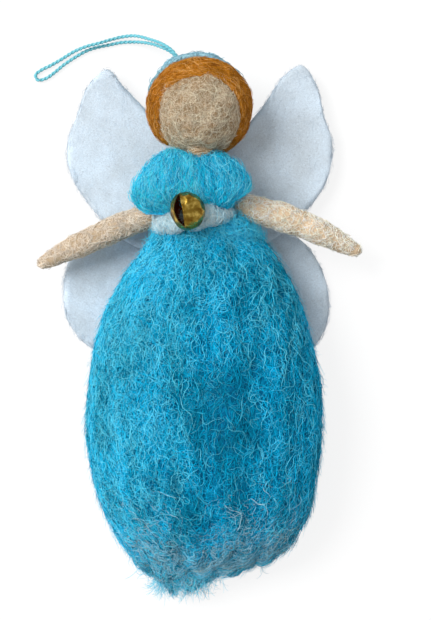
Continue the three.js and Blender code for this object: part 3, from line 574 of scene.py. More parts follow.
def on_hair(points):
    """The outside of the band of hair."""
    return (lengths(points - HEAD_CENTRE) > HEAD_RADIUS + 0.1) * 1.0


def on_hood(points):
    """The outer face of the hood."""
    return (lengths(points - HEAD_CENTRE) > HEAD_RADIUS + SEAT + HOOD_THICKNESS / 2) * 1.0


def on_sash_front(points):
    """The front of the sash, from 3 mm over the middle of the body."""
    return (points[..., 2] > BODY_LEVEL + 3) * 1.0


def on_skirt_front(points):
    """The front of the skirt, with fewer fibres in the last 20 mm to the hem."""
    thinning = np.clip((points[..., 1] - HEM_LINE) / 20, 0.2, 1)
    return (points[..., 2] > 11) * thinning


def on_skirt_sides(points):
    """The edges of the skirt, between 2 and 17 mm over the surface."""
    return ((points[..., 2] > 2) & (points[..., 2] < 17)) * 1.0


def near_hem(points):
    """The last 25 mm of the skirt, more and more towards the hem."""
    return np.clip((HEM_LINE + 25 - points[..., 1]) / 20, 0, 1) ** 2


def beside_hem(points):
    """Both sides of the last 40 mm, where the skirt is thin, but not its middle."""
    beside = np.clip(np.abs(points[..., 0] + 2) / 9 - 0.4, 0, 1)
    return beside * np.clip((HEM_LINE + 40 - points[..., 1]) / 30, 0, 1) ** 2


def on_painted_light_parts(points):
    """Painted light on the skirt: its left and its top, which face the key lamp, and its right edge, where
    pale fibres are laid to look lit.
    """
    left = np.clip(0.1 - 3.2 * points[..., 0] / SKIRT_HALF, 0, 3)
    top = np.clip(1 - (-SKIRT_TOP - points[..., 1]) / (0.4 * SKIRT_LENGTH), 0, 1)
    right = np.clip(points[..., 0] / SKIRT_HALF - 0.55, 0, 1)
    return np.where(points[..., 2] > 8, left * (1 + top) + 1.4 * top + 1.5 * right, 0)


def round_waist(points):
    """The front of the skirt just under the sash, and more on its right."""
    near = (points[..., 1] > -SKIRT_TOP - 0.06 * SKIRT_LENGTH) & (points[..., 2] > 15)
    return near * (1 + 2 * np.clip(points[..., 0] / 8, 0, 1))


def on_ragged_hem(points):
    """The places along the hem where wisps trail off it."""
    x, y, z = np.moveaxis(points, -1, 0)
    near = sum(np.exp(-((x - where) / wide) ** 2) for where, wide in HEM_WISPS)
    return near * (y < -SKIRT_TOP - 0.93 * SKIRT_LENGTH) * (z < 14)


# Shapes to meshes


def new_piece(name, points, faces, uvs, materials, face_material=None):
    """Mesh object from points in millimetres, groups of faces of equal size and a place for each corner."""
    mesh = bpy.data.meshes.new(name)
    corners = np.concatenate([group.ravel() for group in faces]).astype(np.int32)
    sizes = np.concatenate([np.full(len(group), group.shape[1]) for group in faces])
    starts = np.concatenate(([0], np.cumsum(sizes)[:-1])).astype(np.int32)
    mesh.vertices.add(len(points))
    mesh.vertices.foreach_set("co", (np.asarray(points, float) * MM).ravel())
    mesh.loops.add(len(corners))
    mesh.loops.foreach_set("vertex_index", corners)
    mesh.polygons.add(len(sizes))
    mesh.polygons.foreach_set("loop_start", starts)
    mesh.polygons.foreach_set("use_smooth", np.ones(len(sizes), bool))
    for material in materials:
        mesh.materials.append(material)
    if face_material is not None:
        mesh.polygons.foreach_set("material_index", np.asarray(face_material, np.int32))
    layout = mesh.uv_layers.new(name="OFBake")
    layout.uv.foreach_set("vector", np.concatenate([group.reshape(-1, 2) for group in uvs]).ravel())
    mesh.update(calc_edges=True)
    if mesh.validate():
        raise RuntimeError(f"{name} has faces that don't hold")
    piece = bpy.data.objects.new(name, mesh)
    bpy.context.scene.collection.objects.link(piece)
    return piece


def skin_faces(skin):
    """Points, faces and corner places of a skin, closed over both ends unless it is a ring."""
    rows, columns = skin.points.shape[:2]
    strips = rows if skin.ring else rows - 1
    row, column = np.meshgrid(np.arange(strips), np.arange(columns), indexing="ij")
    quads, places = [], []
    for r, c in ((0, 0), (0, 1), (1, 1), (1, 0)):
        quads.append(((row + r) % rows) * columns + (column + c) % columns)
        places.append(np.stack(((column + c) / columns, (row + r) / rows), axis=-1))
    points = skin.points.reshape(-1, 3)
    faces = [np.stack(quads, axis=-1).reshape(-1, 4)]
    uvs = [LAYOUT_MARGIN + (1 - 2 * LAYOUT_MARGIN) * np.stack(places, axis=-2).reshape(-1, 4, 2)]
    if not skin.ring:
        hubs = np.stack((skin.points[0].mean(axis=0), skin.points[-1].mean(axis=0)))
        here = np.arange(columns)
        there = (here + 1) % columns
        first = np.stack((np.full(columns, len(points)), there, here), axis=1)
        last_row = (rows - 1) * columns
        last = np.stack((np.full(columns, len(points) + 1), last_row + here, last_row + there), axis=1)
        points = np.vstack((points, hubs))
        faces.append(np.vstack((first, last)))
        uvs.append(np.full((2 * columns, 3, 2), LAYOUT_MARGIN / 2))
    facing = np.cross(skin.across, skin.down)
    if (facing * skin.normals).sum() > 0:
        faces = [group[:, ::-1] for group in faces]
        uvs = [group[:, ::-1] for group in uvs]
    return points, faces, uvs


def skin_piece(name, skin, material):
    points, faces, uvs = skin_faces(skin)
    return new_piece(name, points, faces, uvs, [material])


def strand_piece(name, paths, thickness, material, sides=3):
    """Closed strands that come to a point at both ends, each with its own small cell of the layout."""
    count, steps = paths.shape[:2]
    rings = steps - 2
    side, up = side_and_up(np.gradient(paths, axis=1), STRAND_REFERENCE)
    angles = np.arange(sides) * FULL_TURN / sides
    shares = np.linspace(0, 1, steps)
    taper = np.minimum(1, 4 * np.minimum(shares, 1 - shares)) ** 0.5
    radius = np.broadcast_to(np.asarray(thickness) / 2, (count,))[:, None] * taper
    out = side[:, :, None] * np.cos(angles)[:, None] + up[:, :, None] * np.sin(angles)[:, None]
    tubes = (paths[:, :, None] + out * radius[:, :, None, None])[:, 1:-1].reshape(count, -1, 3)
    points = np.concatenate((tubes, paths[:, :1], paths[:, -1:]), axis=1)
    start, corner = np.meshgrid(np.arange(rings - 1) * sides, np.arange(sides), indexing="ij")
    beside = (corner + 1) % sides
    end = start + sides
    quads = np.stack((start + corner, start + beside, end + beside, end + corner), axis=-1).reshape(-1, 4)
    here = np.arange(sides)
    there = (here + 1) % sides
    root, tip, last_ring = rings * sides, rings * sides + 1, (rings - 1) * sides
    roots = np.stack((np.full(sides, root), there, here), axis=1)
    tips = np.stack((np.full(sides, tip), last_ring + here, last_ring + there), axis=1)
    ends = np.vstack((roots, tips))
    first = (np.arange(count) * points.shape[1])[:, None, None]
    across = np.concatenate((np.tile(here / sides, rings), (0.5, 0.5)))
    down = np.concatenate((np.repeat(shares[1:-1], sides), (0, 1)))
    cells = math.ceil(math.sqrt(count))
    cell = np.stack((np.arange(count) % cells, np.arange(count) // cells), axis=1)
    own_place = CELL_MARGIN + (1 - 2 * CELL_MARGIN) * np.stack((across, down), axis=1)
    place = ((cell[:, None] + own_place[None]) / cells).reshape(-1, 2)
    faces = [(quads + first).reshape(-1, 4), (ends + first).reshape(-1, 3)]
    return new_piece(name, points.reshape(-1, 3), faces, [place[group] for group in faces], [material])


def plies_piece(name, skins, material):
    """One piece from the skins of several plies, side by side in the layout."""
    points, quads, ends, quad_uvs, end_uvs = [], [], [], [], []
    narrow = np.array((1 / len(skins), 1))
    for number, skin in enumerate(skins):
        own_points, faces, uvs = skin_faces(skin)
        first = sum(len(group) for group in points)
        points.append(own_points)
        quads.append(faces[0] + first)
        ends.append(faces[1] + first)
        quad_uvs.append((uvs[0] + (number, 0)) * narrow)
        end_uvs.append((uvs[1] + (number, 0)) * narrow)
    faces = [np.vstack(quads), np.vstack(ends)]
    return new_piece(name, np.vstack(points), faces, [np.vstack(quad_uvs), np.vstack(end_uvs)], [material])


def dress(piece, body, slot, *nodes):
    """Ties a piece to its body, and hides the CAD nodes that it stands for. Slot, its finish, is not used."""
    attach(piece, body)
    if nodes:
        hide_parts(*nodes)
    return piece


def wool_piece(name, skin, slot, wool, fill, *nodes, body="figure"):
    """Dressed piece of wool over a skin. Fill, from 0, slack, to 1, tight, is not used."""
    piece = dress(skin_piece(name, skin, wool), body, slot, *nodes)


def chance_for(number):
    """Random numbers of one piece, the same at each run."""
    return np.random.default_rng((bpy.context.scene.wool_angel_fibres.seed, number))


def amount_of(count):
    """Number of fibres after the user's share, and never fewer than 20."""
    return max(20, round(count * bpy.context.scene.wool_angel_fibres.amount))


def fibre_thickness():
    return bpy.context.scene.wool_angel_fibres.thickness / MM


def lay_fibres(name, skin, slot, wool, count, seed, length, thickness, vary=None, body="figure", **combing):
    """Dressed piece of loose fibres on a skin. Vary is the range of their thickness, as shares of it."""
    chance = chance_for(seed)
    paths = comb_fibres(skin, amount_of(count), chance, length, **combing)
    if vary:
        thickness = thickness * chance.uniform(*vary, len(paths))
    return dress(strand_piece(name, paths, thickness, wool), body, slot)


# Materials


def add_node(tree, kind, settings=None, links=None):
    """New shader node: settings go to its inputs, its ramp or its own values, and links join its inputs.

    A link comes from a socket, or from the first output of a node.
    """
    node = tree.nodes.new(f"ShaderNode{kind}")
    for name, value in (settings or {}).items():
        if name == "stops":
            ramp = node.color_ramp.elements
            while len(ramp) < len(value):
                ramp.new(0.5)
            for element, (position, stop_colour) in zip(ramp, value):
                element.position = position
                element.color = (*stop_colour, 1)
        elif isinstance(name, int) or name in node.inputs:
            node.inputs[name].default_value = value
        else:
            setattr(node, name, value)
    for name, source in (links or {}).items():
        socket = source.outputs[0] if isinstance(source, bpy.types.Node) else source
        tree.links.new(socket, node.inputs[name])
    return node


def start_material(name):
    material = bpy.data.materials.new(name)
    material.use_nodes = True
    material.node_tree.nodes.clear()
    return material, material.node_tree


def end_material(material, shader):
    add_node(material.node_tree, "OutputMaterial", links={"Surface": shader})
    return material


def shade(tone, share=1):
    """A colour made darker or lighter by a share."""
    return tuple(min(1, channel * share) for channel in tone)


def repeats(*sizes):
    """How often patterns of these sizes in millimetres repeat in a metre."""
    return tuple(1 / (size * MM) for size in sizes)


def in_tufts(tree, place, tone, clump, hollow, lit, detail, roughness):
    """Colour with painted shade between tufts. Hollow is the light left in that painted shade, and lit is
    where tufts start.
    """
    tufted = add_node(tree, "Mapping", {"Scale": repeats(*clump)}, {"Vector": place})
    soft = {"Scale": 1.0, "Detail": detail, "Roughness": roughness}
    tufts = add_node(tree, "TexNoise", soft, {"Vector": tufted})
    levels = [(0.32, (hollow, hollow, hollow)), (lit, (1, 1, 1))]
    tuft_colour = add_node(tree, "ValToRGB", {"stops": levels}, {"Fac": tufts})
    tinted = add_node(tree, "Mix", MULTIPLY, {MIX_ONE: tone, MIX_OTHER: tuft_colour})
    return tinted.outputs[MIXED]


def carded_wool(name, dark, middle, pale, streak=(0.45, 3.2, 0.45), clump=(2.6, 7, 2.6), hollow=0.6,
                thin=None):
    """Carded wool batt: combed fibres give fine streaks, and painted shade darkens the soft hollows between
    tufts.

    Real fibres are about 0.03 mm, and the streaks are drawn coarser so that they show. Thin is the
    colour that shows where the batt thins out towards the hem, and where that starts and ends.
    """
    material, tree = start_material(name)
    place = add_node(tree, "TexCoord").outputs["Object"]
    combed = add_node(tree, "Mapping", {"Scale": repeats(*streak)}, {"Vector": place})
    fine = {"Scale": 1.0, "Detail": 3.0, "Roughness": 0.6, "Distortion": 1.4}
    streaks = add_node(tree, "TexNoise", fine, {"Vector": combed})
    stops = [(0.3, dark), (0.52, middle), (0.74, pale)]
    streak_colour = add_node(tree, "ValToRGB", {"stops": stops}, {"Fac": streaks})
    tone = in_tufts(tree, place, streak_colour, clump, hollow, lit=0.62, detail=2.0, roughness=0.5)
    if thin:
        shown, start, end = thin
        level = add_node(tree, "SeparateXYZ", links={"Vector": place})
        run = {"From Min": start * MM, "From Max": end * MM, "To Min": 0.0, "To Max": 0.8}
        fade = add_node(tree, "MapRange", run, {"Value": level.outputs["Y"]})
        over = {"data_type": "RGBA", MIX_OTHER: (*shown, 1)}
        tone = add_node(tree, "Mix", over, {"Factor": fade, MIX_ONE: tone}).outputs[MIXED]
    bump = add_node(tree, "Bump", {"Strength": 0.7, "Distance": 0.25 * MM}, {"Height": streaks})
    finish = {"Roughness": 0.95, "Sheen Weight": 0.3, "Sheen Roughness": 0.45, "Sheen Tint": (*pale, 1),
              "Specular IOR Level": 0.12}
    shader = add_node(tree, "BsdfPrincipled", finish, {"Base Color": tone, "Normal": bump})
    return end_material(material, shader)


def loose_fibres(name, stops, clump=(3, 8, 3), depth=0.68):
    """Loose wool fibres: each has its own colour, and painted shade darkens them between tufts."""
    material, tree = start_material(name)
    place = add_node(tree, "TexCoord").outputs["Object"]
    island = add_node(tree, "NewGeometry").outputs["Random Per Island"]
    tints = add_node(tree, "ValToRGB", {"stops": stops}, {"Fac": island})
    tone = in_tufts(tree, place, tints, clump, depth, lit=0.6, detail=3.0, roughness=0.55)
    finish = {"Roughness": 0.85, "Sheen Weight": 0.1, "Sheen Roughness": 0.4,
              "Sheen Tint": (*stops[-1][1], 1), "Specular IOR Level": 0.05}
    shader = add_node(tree, "BsdfPrincipled", finish, {"Base Color": tone})
    return end_material(material, shader)


def needle_felt(name, dark, middle, pale, curl=0.8, blotch=6, bump_depth=0.22, swirl=2.2):
    """Needle-felted wool: matted curls give a fine even grain with faint blotches.

    Real fibres are about 0.03 mm, and the curls are drawn coarser so that they show.
    """
    material, tree = start_material(name)
    place = add_node(tree, "TexCoord").outputs["Object"]
    matted = {"Scale": 1 / (curl * MM), "Detail": 4.0, "Roughness": 0.65, "Distortion": swirl}
    curls = add_node(tree, "TexNoise", matted, {"Vector": place})
    blotches = add_node(tree, "TexNoise", {"Scale": 1 / (blotch * MM), "Detail": 2.0}, {"Vector": place})
    curl_stops = [(0.3, dark), (0.5, middle), (0.72, pale)]
    curl_colour = add_node(tree, "ValToRGB", {"stops": curl_stops}, {"Fac": curls})
    blotch_stops = [(0.35, (0.88, 0.86, 0.84)), (0.62, (1, 1, 1))]
    blotch_colour = add_node(tree, "ValToRGB", {"stops": blotch_stops}, {"Fac": blotches})
    tinted = add_node(tree, "Mix", MULTIPLY, {MIX_ONE: curl_colour, MIX_OTHER: blotch_colour})
    bump = add_node(tree, "Bump", {"Strength": 0.6, "Distance": bump_depth * MM}, {"Height": curls})
    finish = {"Roughness": 0.95, "Sheen Weight": 0.1, "Sheen Roughness": 0.5, "Specular IOR Level": 0.15}
    links = {"Base Color": tinted.outputs[MIXED], "Normal": bump}
    return end_material(material, add_node(tree, "BsdfPrincipled", finish, links))


def hammered_brass(name, bright):
    """Polished brass, dented and handled: warm reflections, browner and rougher in its hollows."""
    material, tree = start_material(name)
    place = add_node(tree, "TexCoord").outputs["Object"]
    small = {"Scale": 1 / (2.4 * MM), "Detail": 2.0, "Roughness": 0.5}
    dents = add_node(tree, "TexNoise", small, {"Vector": place})
    patchy = {"Scale": 1 / (2.2 * MM), "Detail": 4.0, "Roughness": 0.6}
    tarnish = add_node(tree, "TexNoise", patchy, {"Vector": place})
    stops = [(0.34, linear(BRASS_BROWN)), (0.5, bright), (0.7, linear(BRASS_BRIGHT))]
    tone = add_node(tree, "ValToRGB", {"stops": stops}, {"Fac": tarnish})
    smoother = {"From Min": 0.35, "From Max": 0.7, "To Min": 0.36, "To Max": 0.2}
    polish = add_node(tree, "MapRange", smoother, {"Value": tarnish})
    bump = add_node(tree, "Bump", {"Strength": 0.3, "Distance": 0.2 * MM}, {"Height": dents})
    links = {"Base Color": tone, "Roughness": polish, "Normal": bump}
    return end_material(material, add_node(tree, "BsdfPrincipled", {"Metallic": 1.0}, links))


def tarnished_inside(name):
    """Inside of the bell, never polished: dull and reddish brown, dark in the slot's shade."""
    material, tree = start_material(name)
    place = add_node(tree, "TexCoord").outputs["Object"]
    stain = add_node(tree, "TexNoise", {"Scale": 1 / (1.5 * MM), "Detail": 3.0}, {"Vector": place})
    stops = [(0.35, linear(TARNISH_DARK)), (0.7, linear(TARNISH_PALE))]
    tone = add_node(tree, "ValToRGB", {"stops": stops}, {"Fac": stain})
    dull = {"Roughness": 0.7, "Metallic": 0.3}
    return end_material(material, add_node(tree, "BsdfPrincipled", dull, {"Base Color": tone}))


def drawn_steel(name):
    """Drawn steel: fine scratches break up a soft shine. Drawn coarser than real, so that they show."""
    material, tree = start_material(name)
    place = add_node(tree, "TexCoord").outputs["Object"]
    scratches = add_node(tree, "TexNoise", {"Scale": 1 / (0.4 * MM), "Detail": 4.0}, {"Vector": place})
    stops = [(0.3, linear(STEEL_DARK)), (0.7, linear(STEEL_PALE))]
    tone = add_node(tree, "ValToRGB", {"stops": stops}, {"Fac": scratches})
    polish = add_node(tree, "MapRange", {"To Min": 0.3, "To Max": 0.5}, {"Value": scratches})
    links = {"Base Color": tone, "Roughness": polish}
    return end_material(material, add_node(tree, "BsdfPrincipled", {"Metallic": 1.0}, links))


def spun_thread(name, dark, middle, pale):
    """Spun cotton: fine filaments give a soft grain, and wear gives paler and darker stretches.

    Real filaments are about 0.02 mm, and they are drawn coarser so that they show. Wear follows the
    layout, in stretches of about 3 mm along the cord.
    """
    material, tree = start_material(name)
    layout = add_node(tree, "UVMap", {"uv_map": "OFBake"})
    place = add_node(tree, "TexCoord").outputs["Object"]
    fine = {"Scale": 1 / (0.25 * MM), "Detail": 3.0, "Roughness": 0.6, "Distortion": 0.8}
    filaments = add_node(tree, "TexNoise", fine, {"Vector": place})
    wear = add_node(tree, "TexNoise", {"Scale": WEAR_STRETCHES, "Detail": 2.0}, {"Vector": layout})
    both = add_node(tree, "Math", {"operation": "ADD"}, {0: filaments, 1: wear})
    mean = add_node(tree, "Math", {"operation": "MULTIPLY", 1: 0.5}, {0: both})
    stops = [(0.36, dark), (0.5, middle), (0.66, pale)]
    tone = add_node(tree, "ValToRGB", {"stops": stops}, {"Fac": mean})
    bump = add_node(tree, "Bump", {"Strength": 0.5, "Distance": 0.08 * MM}, {"Height": filaments})
    finish = {"Roughness": 0.7, "Sheen Weight": 0.2, "Sheen Roughness": 0.4}
    shader = add_node(tree, "BsdfPrincipled", finish, {"Base Color": tone, "Normal": bump})
    return end_material(material, shader)


def white_surface(name):
    """Matt white paper: seen as white, it takes the object's shadow and gives little light back."""
    material, tree = start_material(name)
    path = add_node(tree, "LightPath").outputs
    rays = {0: path["Is Camera Ray"], 1: path["Is Glossy Ray"]}
    seen = add_node(tree, "Math", {"operation": "MAXIMUM"}, rays)
    tones = {"data_type": "RGBA", MIX_ONE: (*[PAPER_BOUNCE] * 3, 1), MIX_OTHER: (1, 1, 1, 1)}
    tone = add_node(tree, "Mix", tones, {"Factor": seen})
    paper = add_node(tree, "BsdfDiffuse", links={"Color": tone.outputs[MIXED]})
    glow = add_node(tree, "Emission", {"Strength": 1.0})
    share = add_node(tree, "Math", {"operation": "MULTIPLY", 1: PAPER_GLOW}, {0: seen})
    return end_material(material, add_node(tree, "MixShader", links={0: share, 1: paper, 2: glow}))


# Skins of the pieces


def grid(rows, columns):
    """Shares along and turns round, as a column and a row that broadcast over a grid."""
    shares = np.linspace(0, 1, rows)[:, None]
    turns = np.linspace(0, FULL_TURN, columns, endpoint=False)[None]
    return shares, turns


def over_head(turn, tilt, height):
    """Points over the head: turn from the crown, tilt from the side towards the face, height over it."""
    turn, tilt, height = np.broadcast_arrays(turn, tilt, height)
    out = surface(np.cos(tilt) * np.sin(turn), np.cos(tilt) * np.cos(turn), np.sin(tilt))
    return HEAD_CENTRE + out * (HEAD_RADIUS + height)[..., None]


def head_skin():
    shares, turns = grid(130, 190)
    polar = POLE_GAP + (math.pi - 2 * POLE_GAP) * shares
    out = surface(np.sin(polar) * np.sin(turns), np.cos(polar), np.sin(polar) * np.cos(turns))
    skin = Skin(HEAD_CENTRE + HEAD_RADIUS * out)
    skin.swell(bumps(skin.points, HEAD_BUMPS))
    return skin


def neck_skin():
    shares, turns = grid(40, 60)
    low, high = TORSO_TOP - NECK_IN_BODY, HEAD_CENTRE[1] - HEAD_RADIUS + NECK_IN_HEAD
    radius = NECK_RADIUS * (1 + NECK_WAIST * np.cos(FULL_TURN * shares))
    level = BODY_LEVEL + NECK_FORWARD
    skin = Skin(surface(radius * np.cos(turns), low + (high - low) * shares, level + radius * np.sin(turns)))
    skin.swell(bumps(skin.points, NECK_BUMPS))
    return skin


def hair_edges(turn):
    """Tilt of the band's front and back edges at a turn from the crown."""
    front = math.radians(HAIR_FRONT_ANGLE) * np.cos(HAIR_FADE * turn)
    back = np.radians(HAIR_BACK_ANGLE - HAIR_TUCK_ANGLE * np.sin(turn / 2) ** 2)
    return front, back


def hair_skin():
    """Band of roving over the head, thinner at the crown and on the right."""
    shares, turns = grid(150, 60)
    turn = np.radians(HAIR_LEFT_END + (HAIR_RIGHT_END - HAIR_LEFT_END) * shares)
    front, back = hair_edges(turn)
    across = 0.5 - 0.5 * np.cos(turns)
    thick = HAIR_CROWN_SHARE + (1 - HAIR_CROWN_SHARE) * np.sin(turn) ** 2
    thick = thick - HAIR_RIGHT_THINNING * np.clip(np.sin(turn), 0, 1)
    arch = HAIR_THICKNESS * thick * np.sin(math.pi * across) ** HAIR_ROUNDNESS
    height = np.where(np.sin(turns) > 0, arch, HAIR_UNDERSIDE)
    skin = Skin(over_head(turn, back + (front - back) * across, height))
    outer = np.broadcast_to(np.clip(3 * np.sin(turns), 0, 1), height.shape)
    skin.swell(outer * bumps(skin.points, HAIR_BUMPS))
    return skin


def hood_skin():
    """Both faces of the hood, the inner one first, from pole to rim and back to the pole."""
    shares, turns = grid(150, 170)
    outside = HEAD_RADIUS + SEAT + HOOD_THICKNESS
    lean = math.tan(math.radians(HOOD_TILT)) * np.sin(turns)
    rim = np.arctan(lean) + np.arccos(HOOD_SETBACK / (outside * np.sqrt(1 + lean ** 2)))
    down = -np.sin(turns)
    nape = np.arcsin(np.clip(HOOD_NAPE_CUT / (outside * np.maximum(down, 0.01)), -1, 1))
    rim = np.where(down > 0, np.minimum(rim, nape), rim)
    fold = 2 * shares - 1
    polar = rim * np.sin(math.pi / 2 * (1 - np.abs(fold))) + HOOD_POLE_GAP
    edge = np.clip(fold / HOOD_RIM_SHARE, -1, 1)
    radius = outside - HOOD_THICKNESS / 2 + HOOD_THICKNESS / 2 * np.sin(math.pi / 2 * edge)
    facing = np.clip(np.sin(polar) * np.cos(turns - math.radians(HOOD_FLAT_SIDE)), 0, 1)
    radius = radius - HOOD_FLAT * facing ** 3 * (edge > 0)
    level = radius * np.sin(polar)
    points = HEAD_CENTRE + surface(
        HOOD_SHIFT + level * np.cos(turns), level * np.sin(turns), -radius * np.cos(polar)
    )
    skin = Skin(points)
    skin.normals = np.where(fold[..., None] >= 0, 1, -1) * (points - HEAD_CENTRE) / radius[..., None]
    outer = np.broadcast_to(np.clip(edge, 0, 1), points.shape[:2])
    skin.swell(outer * (bumps(points, HOOD_BUMPS) - HOOD_SINK))
    return skin


def torso_skin():
    shares, turns = grid(90, 90)
    along = -TORSO_TUCK + (TORSO_TOP + TORSO_TUCK) * shares
    table = read_stations(TORSO_STATIONS, along.ravel())
    half_width, half_depth = table[:, 1:2] * TORSO_WIDTH / 2, table[:, 2:3] * TORSO_DEPTH / 2
    skin = Skin(surface(half_width * np.cos(turns), along, BODY_LEVEL + half_depth * np.sin(turns)))
    skin.swell(bumps(skin.points, TORSO_BUMPS))
    return skin


def bodice_skin(side):
    """Bundle of wool from the front of the waist over the shoulder and down the back."""
    front = BODY_LEVEL + CHEST_FRONT - BODICE_WOOL / 2
    back = UPPER_WING_BASE + FELT_THICKNESS + SEAT + BODICE_STATIONS[-1][2] * BODICE_WOOL
    over = -side * BODICE_OVERLAP
    edges = {
        "low": BODICE_CREASE_LOW + over,
        "middle": (BODICE_CREASE_LOW + BODICE_CREASE_TOP) / 2 + over,
        "top": BODICE_CREASE_TOP + over,
        "neck": side * (NECK_RADIUS + SEAT),
        "spine": 0,
    }
    sag, tall = (BODICE_LEFT_SAG, SHOULDER_RISE) if side < 0 else (0, SHOULDER_RISE * BODICE_RIGHT_RISE)
    stations = []
    for number, (rise, place, thick, left, right, edge) in enumerate(BODICE_STATIONS):
        height = rise * tall - sag / (1 + number) ** 2
        reach = -left * BODICE_LEFT_REACH if side < 0 else right * BODICE_RIGHT_REACH
        depth = back + place * (front - back)
        stations.append((number, height, depth, edges[edge], reach, thick * BODICE_WOOL))
    shares, turns = grid(170, 110)
    table = read_stations(stations, shares.ravel() * (len(stations) - 1))
    y, z, inner, outer, thick = (table[:, i:i + 1] for i in range(1, 6))
    along = np.gradient(table[:, 1:3], axis=0)
    along /= lengths(along)[:, None]
    skin = Skin(surface(
        (inner + outer) / 2 + np.abs(outer - inner) / 2 * np.cos(turns),
        y + along[:, 1:] * thick * np.sin(turns),
        z - along[:, :1] * thick * np.sin(turns),
    ))
    combed = skin.points * np.array(BODICE_COMB)
    skin.swell(bumps(combed, BODICE_STREAKS, side) + bumps(skin.points, BODICE_BUMPS, side))
    return skin


def belt_skin():
    """Sash wound round the waist, narrower on the right and puffed out in front."""
    turns = grid(1, 40)[1]
    angle = grid(1, 220)[1].T
    middle = (BELT_LOW + BELT_HIGH) / 2
    half_width = (BELT_HIGH[0] - BELT_LOW[0] - BELT_THICKNESS) / 2 - BELT_SIDE_ROOM
    half_depth = (BELT_HIGH[2] - BELT_LOW[2] - BELT_THICKNESS) / 2
    out = (BELT_THICKNESS / 2) * np.cos(turns)
    x = half_width * np.cos(angle)
    share = 1 - (1 - BELT_RIGHT_SHARE) * np.clip(1.5 * np.cos(angle), 0, 1)
    y = x * math.tan(math.radians(BELT_TILT)) - BELT_DROP + share * BELT_HEIGHT / 2 * np.sin(turns)
    puff = BELT_PUFF * np.clip(np.sin(angle), 0, 1) ** 2 * (1 + BELT_RIGHT_PUFF * np.cos(angle))
    z = middle[2] + (half_depth + out) * np.sin(angle) + puff
    skin = Skin(surface(middle[0] + x + out * np.cos(angle), y, z), ring=True)
    combed = skin.points * np.array(BELT_COMB)
    skin.swell(bumps(combed, BELT_STREAKS) + bumps(skin.points, BELT_BUMPS))
    return skin


def skirt_skin():
    """Skirt from waist to hem, with soft folds in front and a ragged hem."""
    shares, turns = grid(300, 240)
    table = read_stations(SKIRT_STATIONS, shares.ravel())
    left, right, top, low = (table[:, i:i + 1] for i in range(1, 5))
    left, right, top = left * SKIRT_HALF, right * SKIRT_HALF, top * SKIRT_DEPTH
    low = np.maximum(low, FLOOR_CLEARANCE)
    split = low + (top - low) * SKIRT_SPLIT
    middle, reach = (right - left) / 2 + SKIRT_SHIFT, (right + left) / 2 - SKIRT_FUZZ
    sine = np.sin(turns)
    folds = sum(
        part * np.cos(count * turns + start + drift * shares) for count, start, drift, part in FOLD_WAVES
    )
    folds = FOLD_DEPTH * folds * sine * np.sqrt(np.abs(np.sin(math.pi * shares)))
    above = np.abs(sine) ** SKIRT_FRONT_ROUNDNESS * (top - split - SKIRT_FUZZ / 2) + folds
    below = np.abs(sine) ** SKIRT_BACK_ROUNDNESS * (split - low)
    x = middle + reach * np.cos(turns)
    z = split + np.where(sine > 0, above, -below)
    ragged = HEM_RAGGED * waves(surface(x, 0, z), HEM_RAGGED_WIDTH, HEM_RAGGED_SEED) - HEM_FRINGE
    details = sum(deep * np.exp(-((x - where) / wide) ** 2) for where, wide, deep in HEM_DETAILS)
    y = -SKIRT_TOP - SKIRT_LENGTH * shares
    y = y - ragged * np.clip((shares - HEM_RAGGED_START) / HEM_RAGGED_RUN, 0, 1)
    y = y - details * np.clip((shares - HEM_DETAIL_START) / HEM_DETAIL_RUN, 0, 1)
    near_waist = np.clip(1 - shares / SKIRT_RISE_SHARE, 0, 1)
    y = y + SKIRT_RIGHT_RISE * np.clip(x / SKIRT_RISE_WIDTH, 0, 1) * near_waist
    skin = Skin(surface(x, y, z))
    front = np.clip(skin.normals[..., 2] + 0.6, 0.15, 1)
    streaks = bumps(skin.points * np.array(SKIRT_COMB), SKIRT_STREAKS)
    skin.swell(front * streaks * np.clip(1.2 - shares, 0.3, 1))
    return skin


def wing_skin(outline, size, base, seed):
    """Felt cut to an outline, built as slices from the left tip to the right tip, with rounded edges."""
    edge = smooth_path([(x * size[0], y * size[1], 0) for x, y in outline], 1200, closed=True)
    left, right = np.argmin(edge[:, 0]), np.argmax(edge[:, 0])
    ahead = np.roll(edge, -left, axis=0)
    turn_point = (right - left) % len(edge)
    one, other = ahead[:turn_point + 1], np.vstack((ahead[turn_point:], ahead[:1]))[::-1]
    first, last = edge[left, 0], edge[right, 0]
    sweep = np.linspace(POLE_GAP, math.pi - POLE_GAP, 260)
    slices = first + (last - first) * (0.5 - 0.5 * np.cos(sweep))
    sides = [np.interp(slices, np.maximum.accumulate(chain[:, 0]), chain[:, 1]) for chain in (one, other)]
    low, high = np.minimum(*sides)[:, None], np.maximum(*sides)[:, None]
    turns = grid(1, 120)[1]
    cosine = np.cos(turns)
    across = np.sign(cosine) * np.abs(cosine) ** FELT_SQUARENESS
    room = (high - low) / 2 * (1 - np.abs(across))
    end = np.minimum(slices - first, last - slices)[:, None]
    depth = np.minimum(np.minimum(room, end), FELT_ROUNDED) / FELT_ROUNDED
    thickness = FELT_THICKNESS / 2 * np.sqrt(np.clip(1 - (1 - depth) ** 2, 0.0004, 1))
    face = np.where(np.sin(turns) >= 0, 1, -1)
    skin = Skin(surface(
        slices[:, None], (low + high) / 2 + (high - low) / 2 * across,
        base + FELT_THICKNESS / 2 + face * thickness,
    ))
    above = np.clip(skin.normals[..., 2], 0, 1)
    skin.swell(above * bumps(skin.points, WING_BUMPS, seed))
    return skin, edge


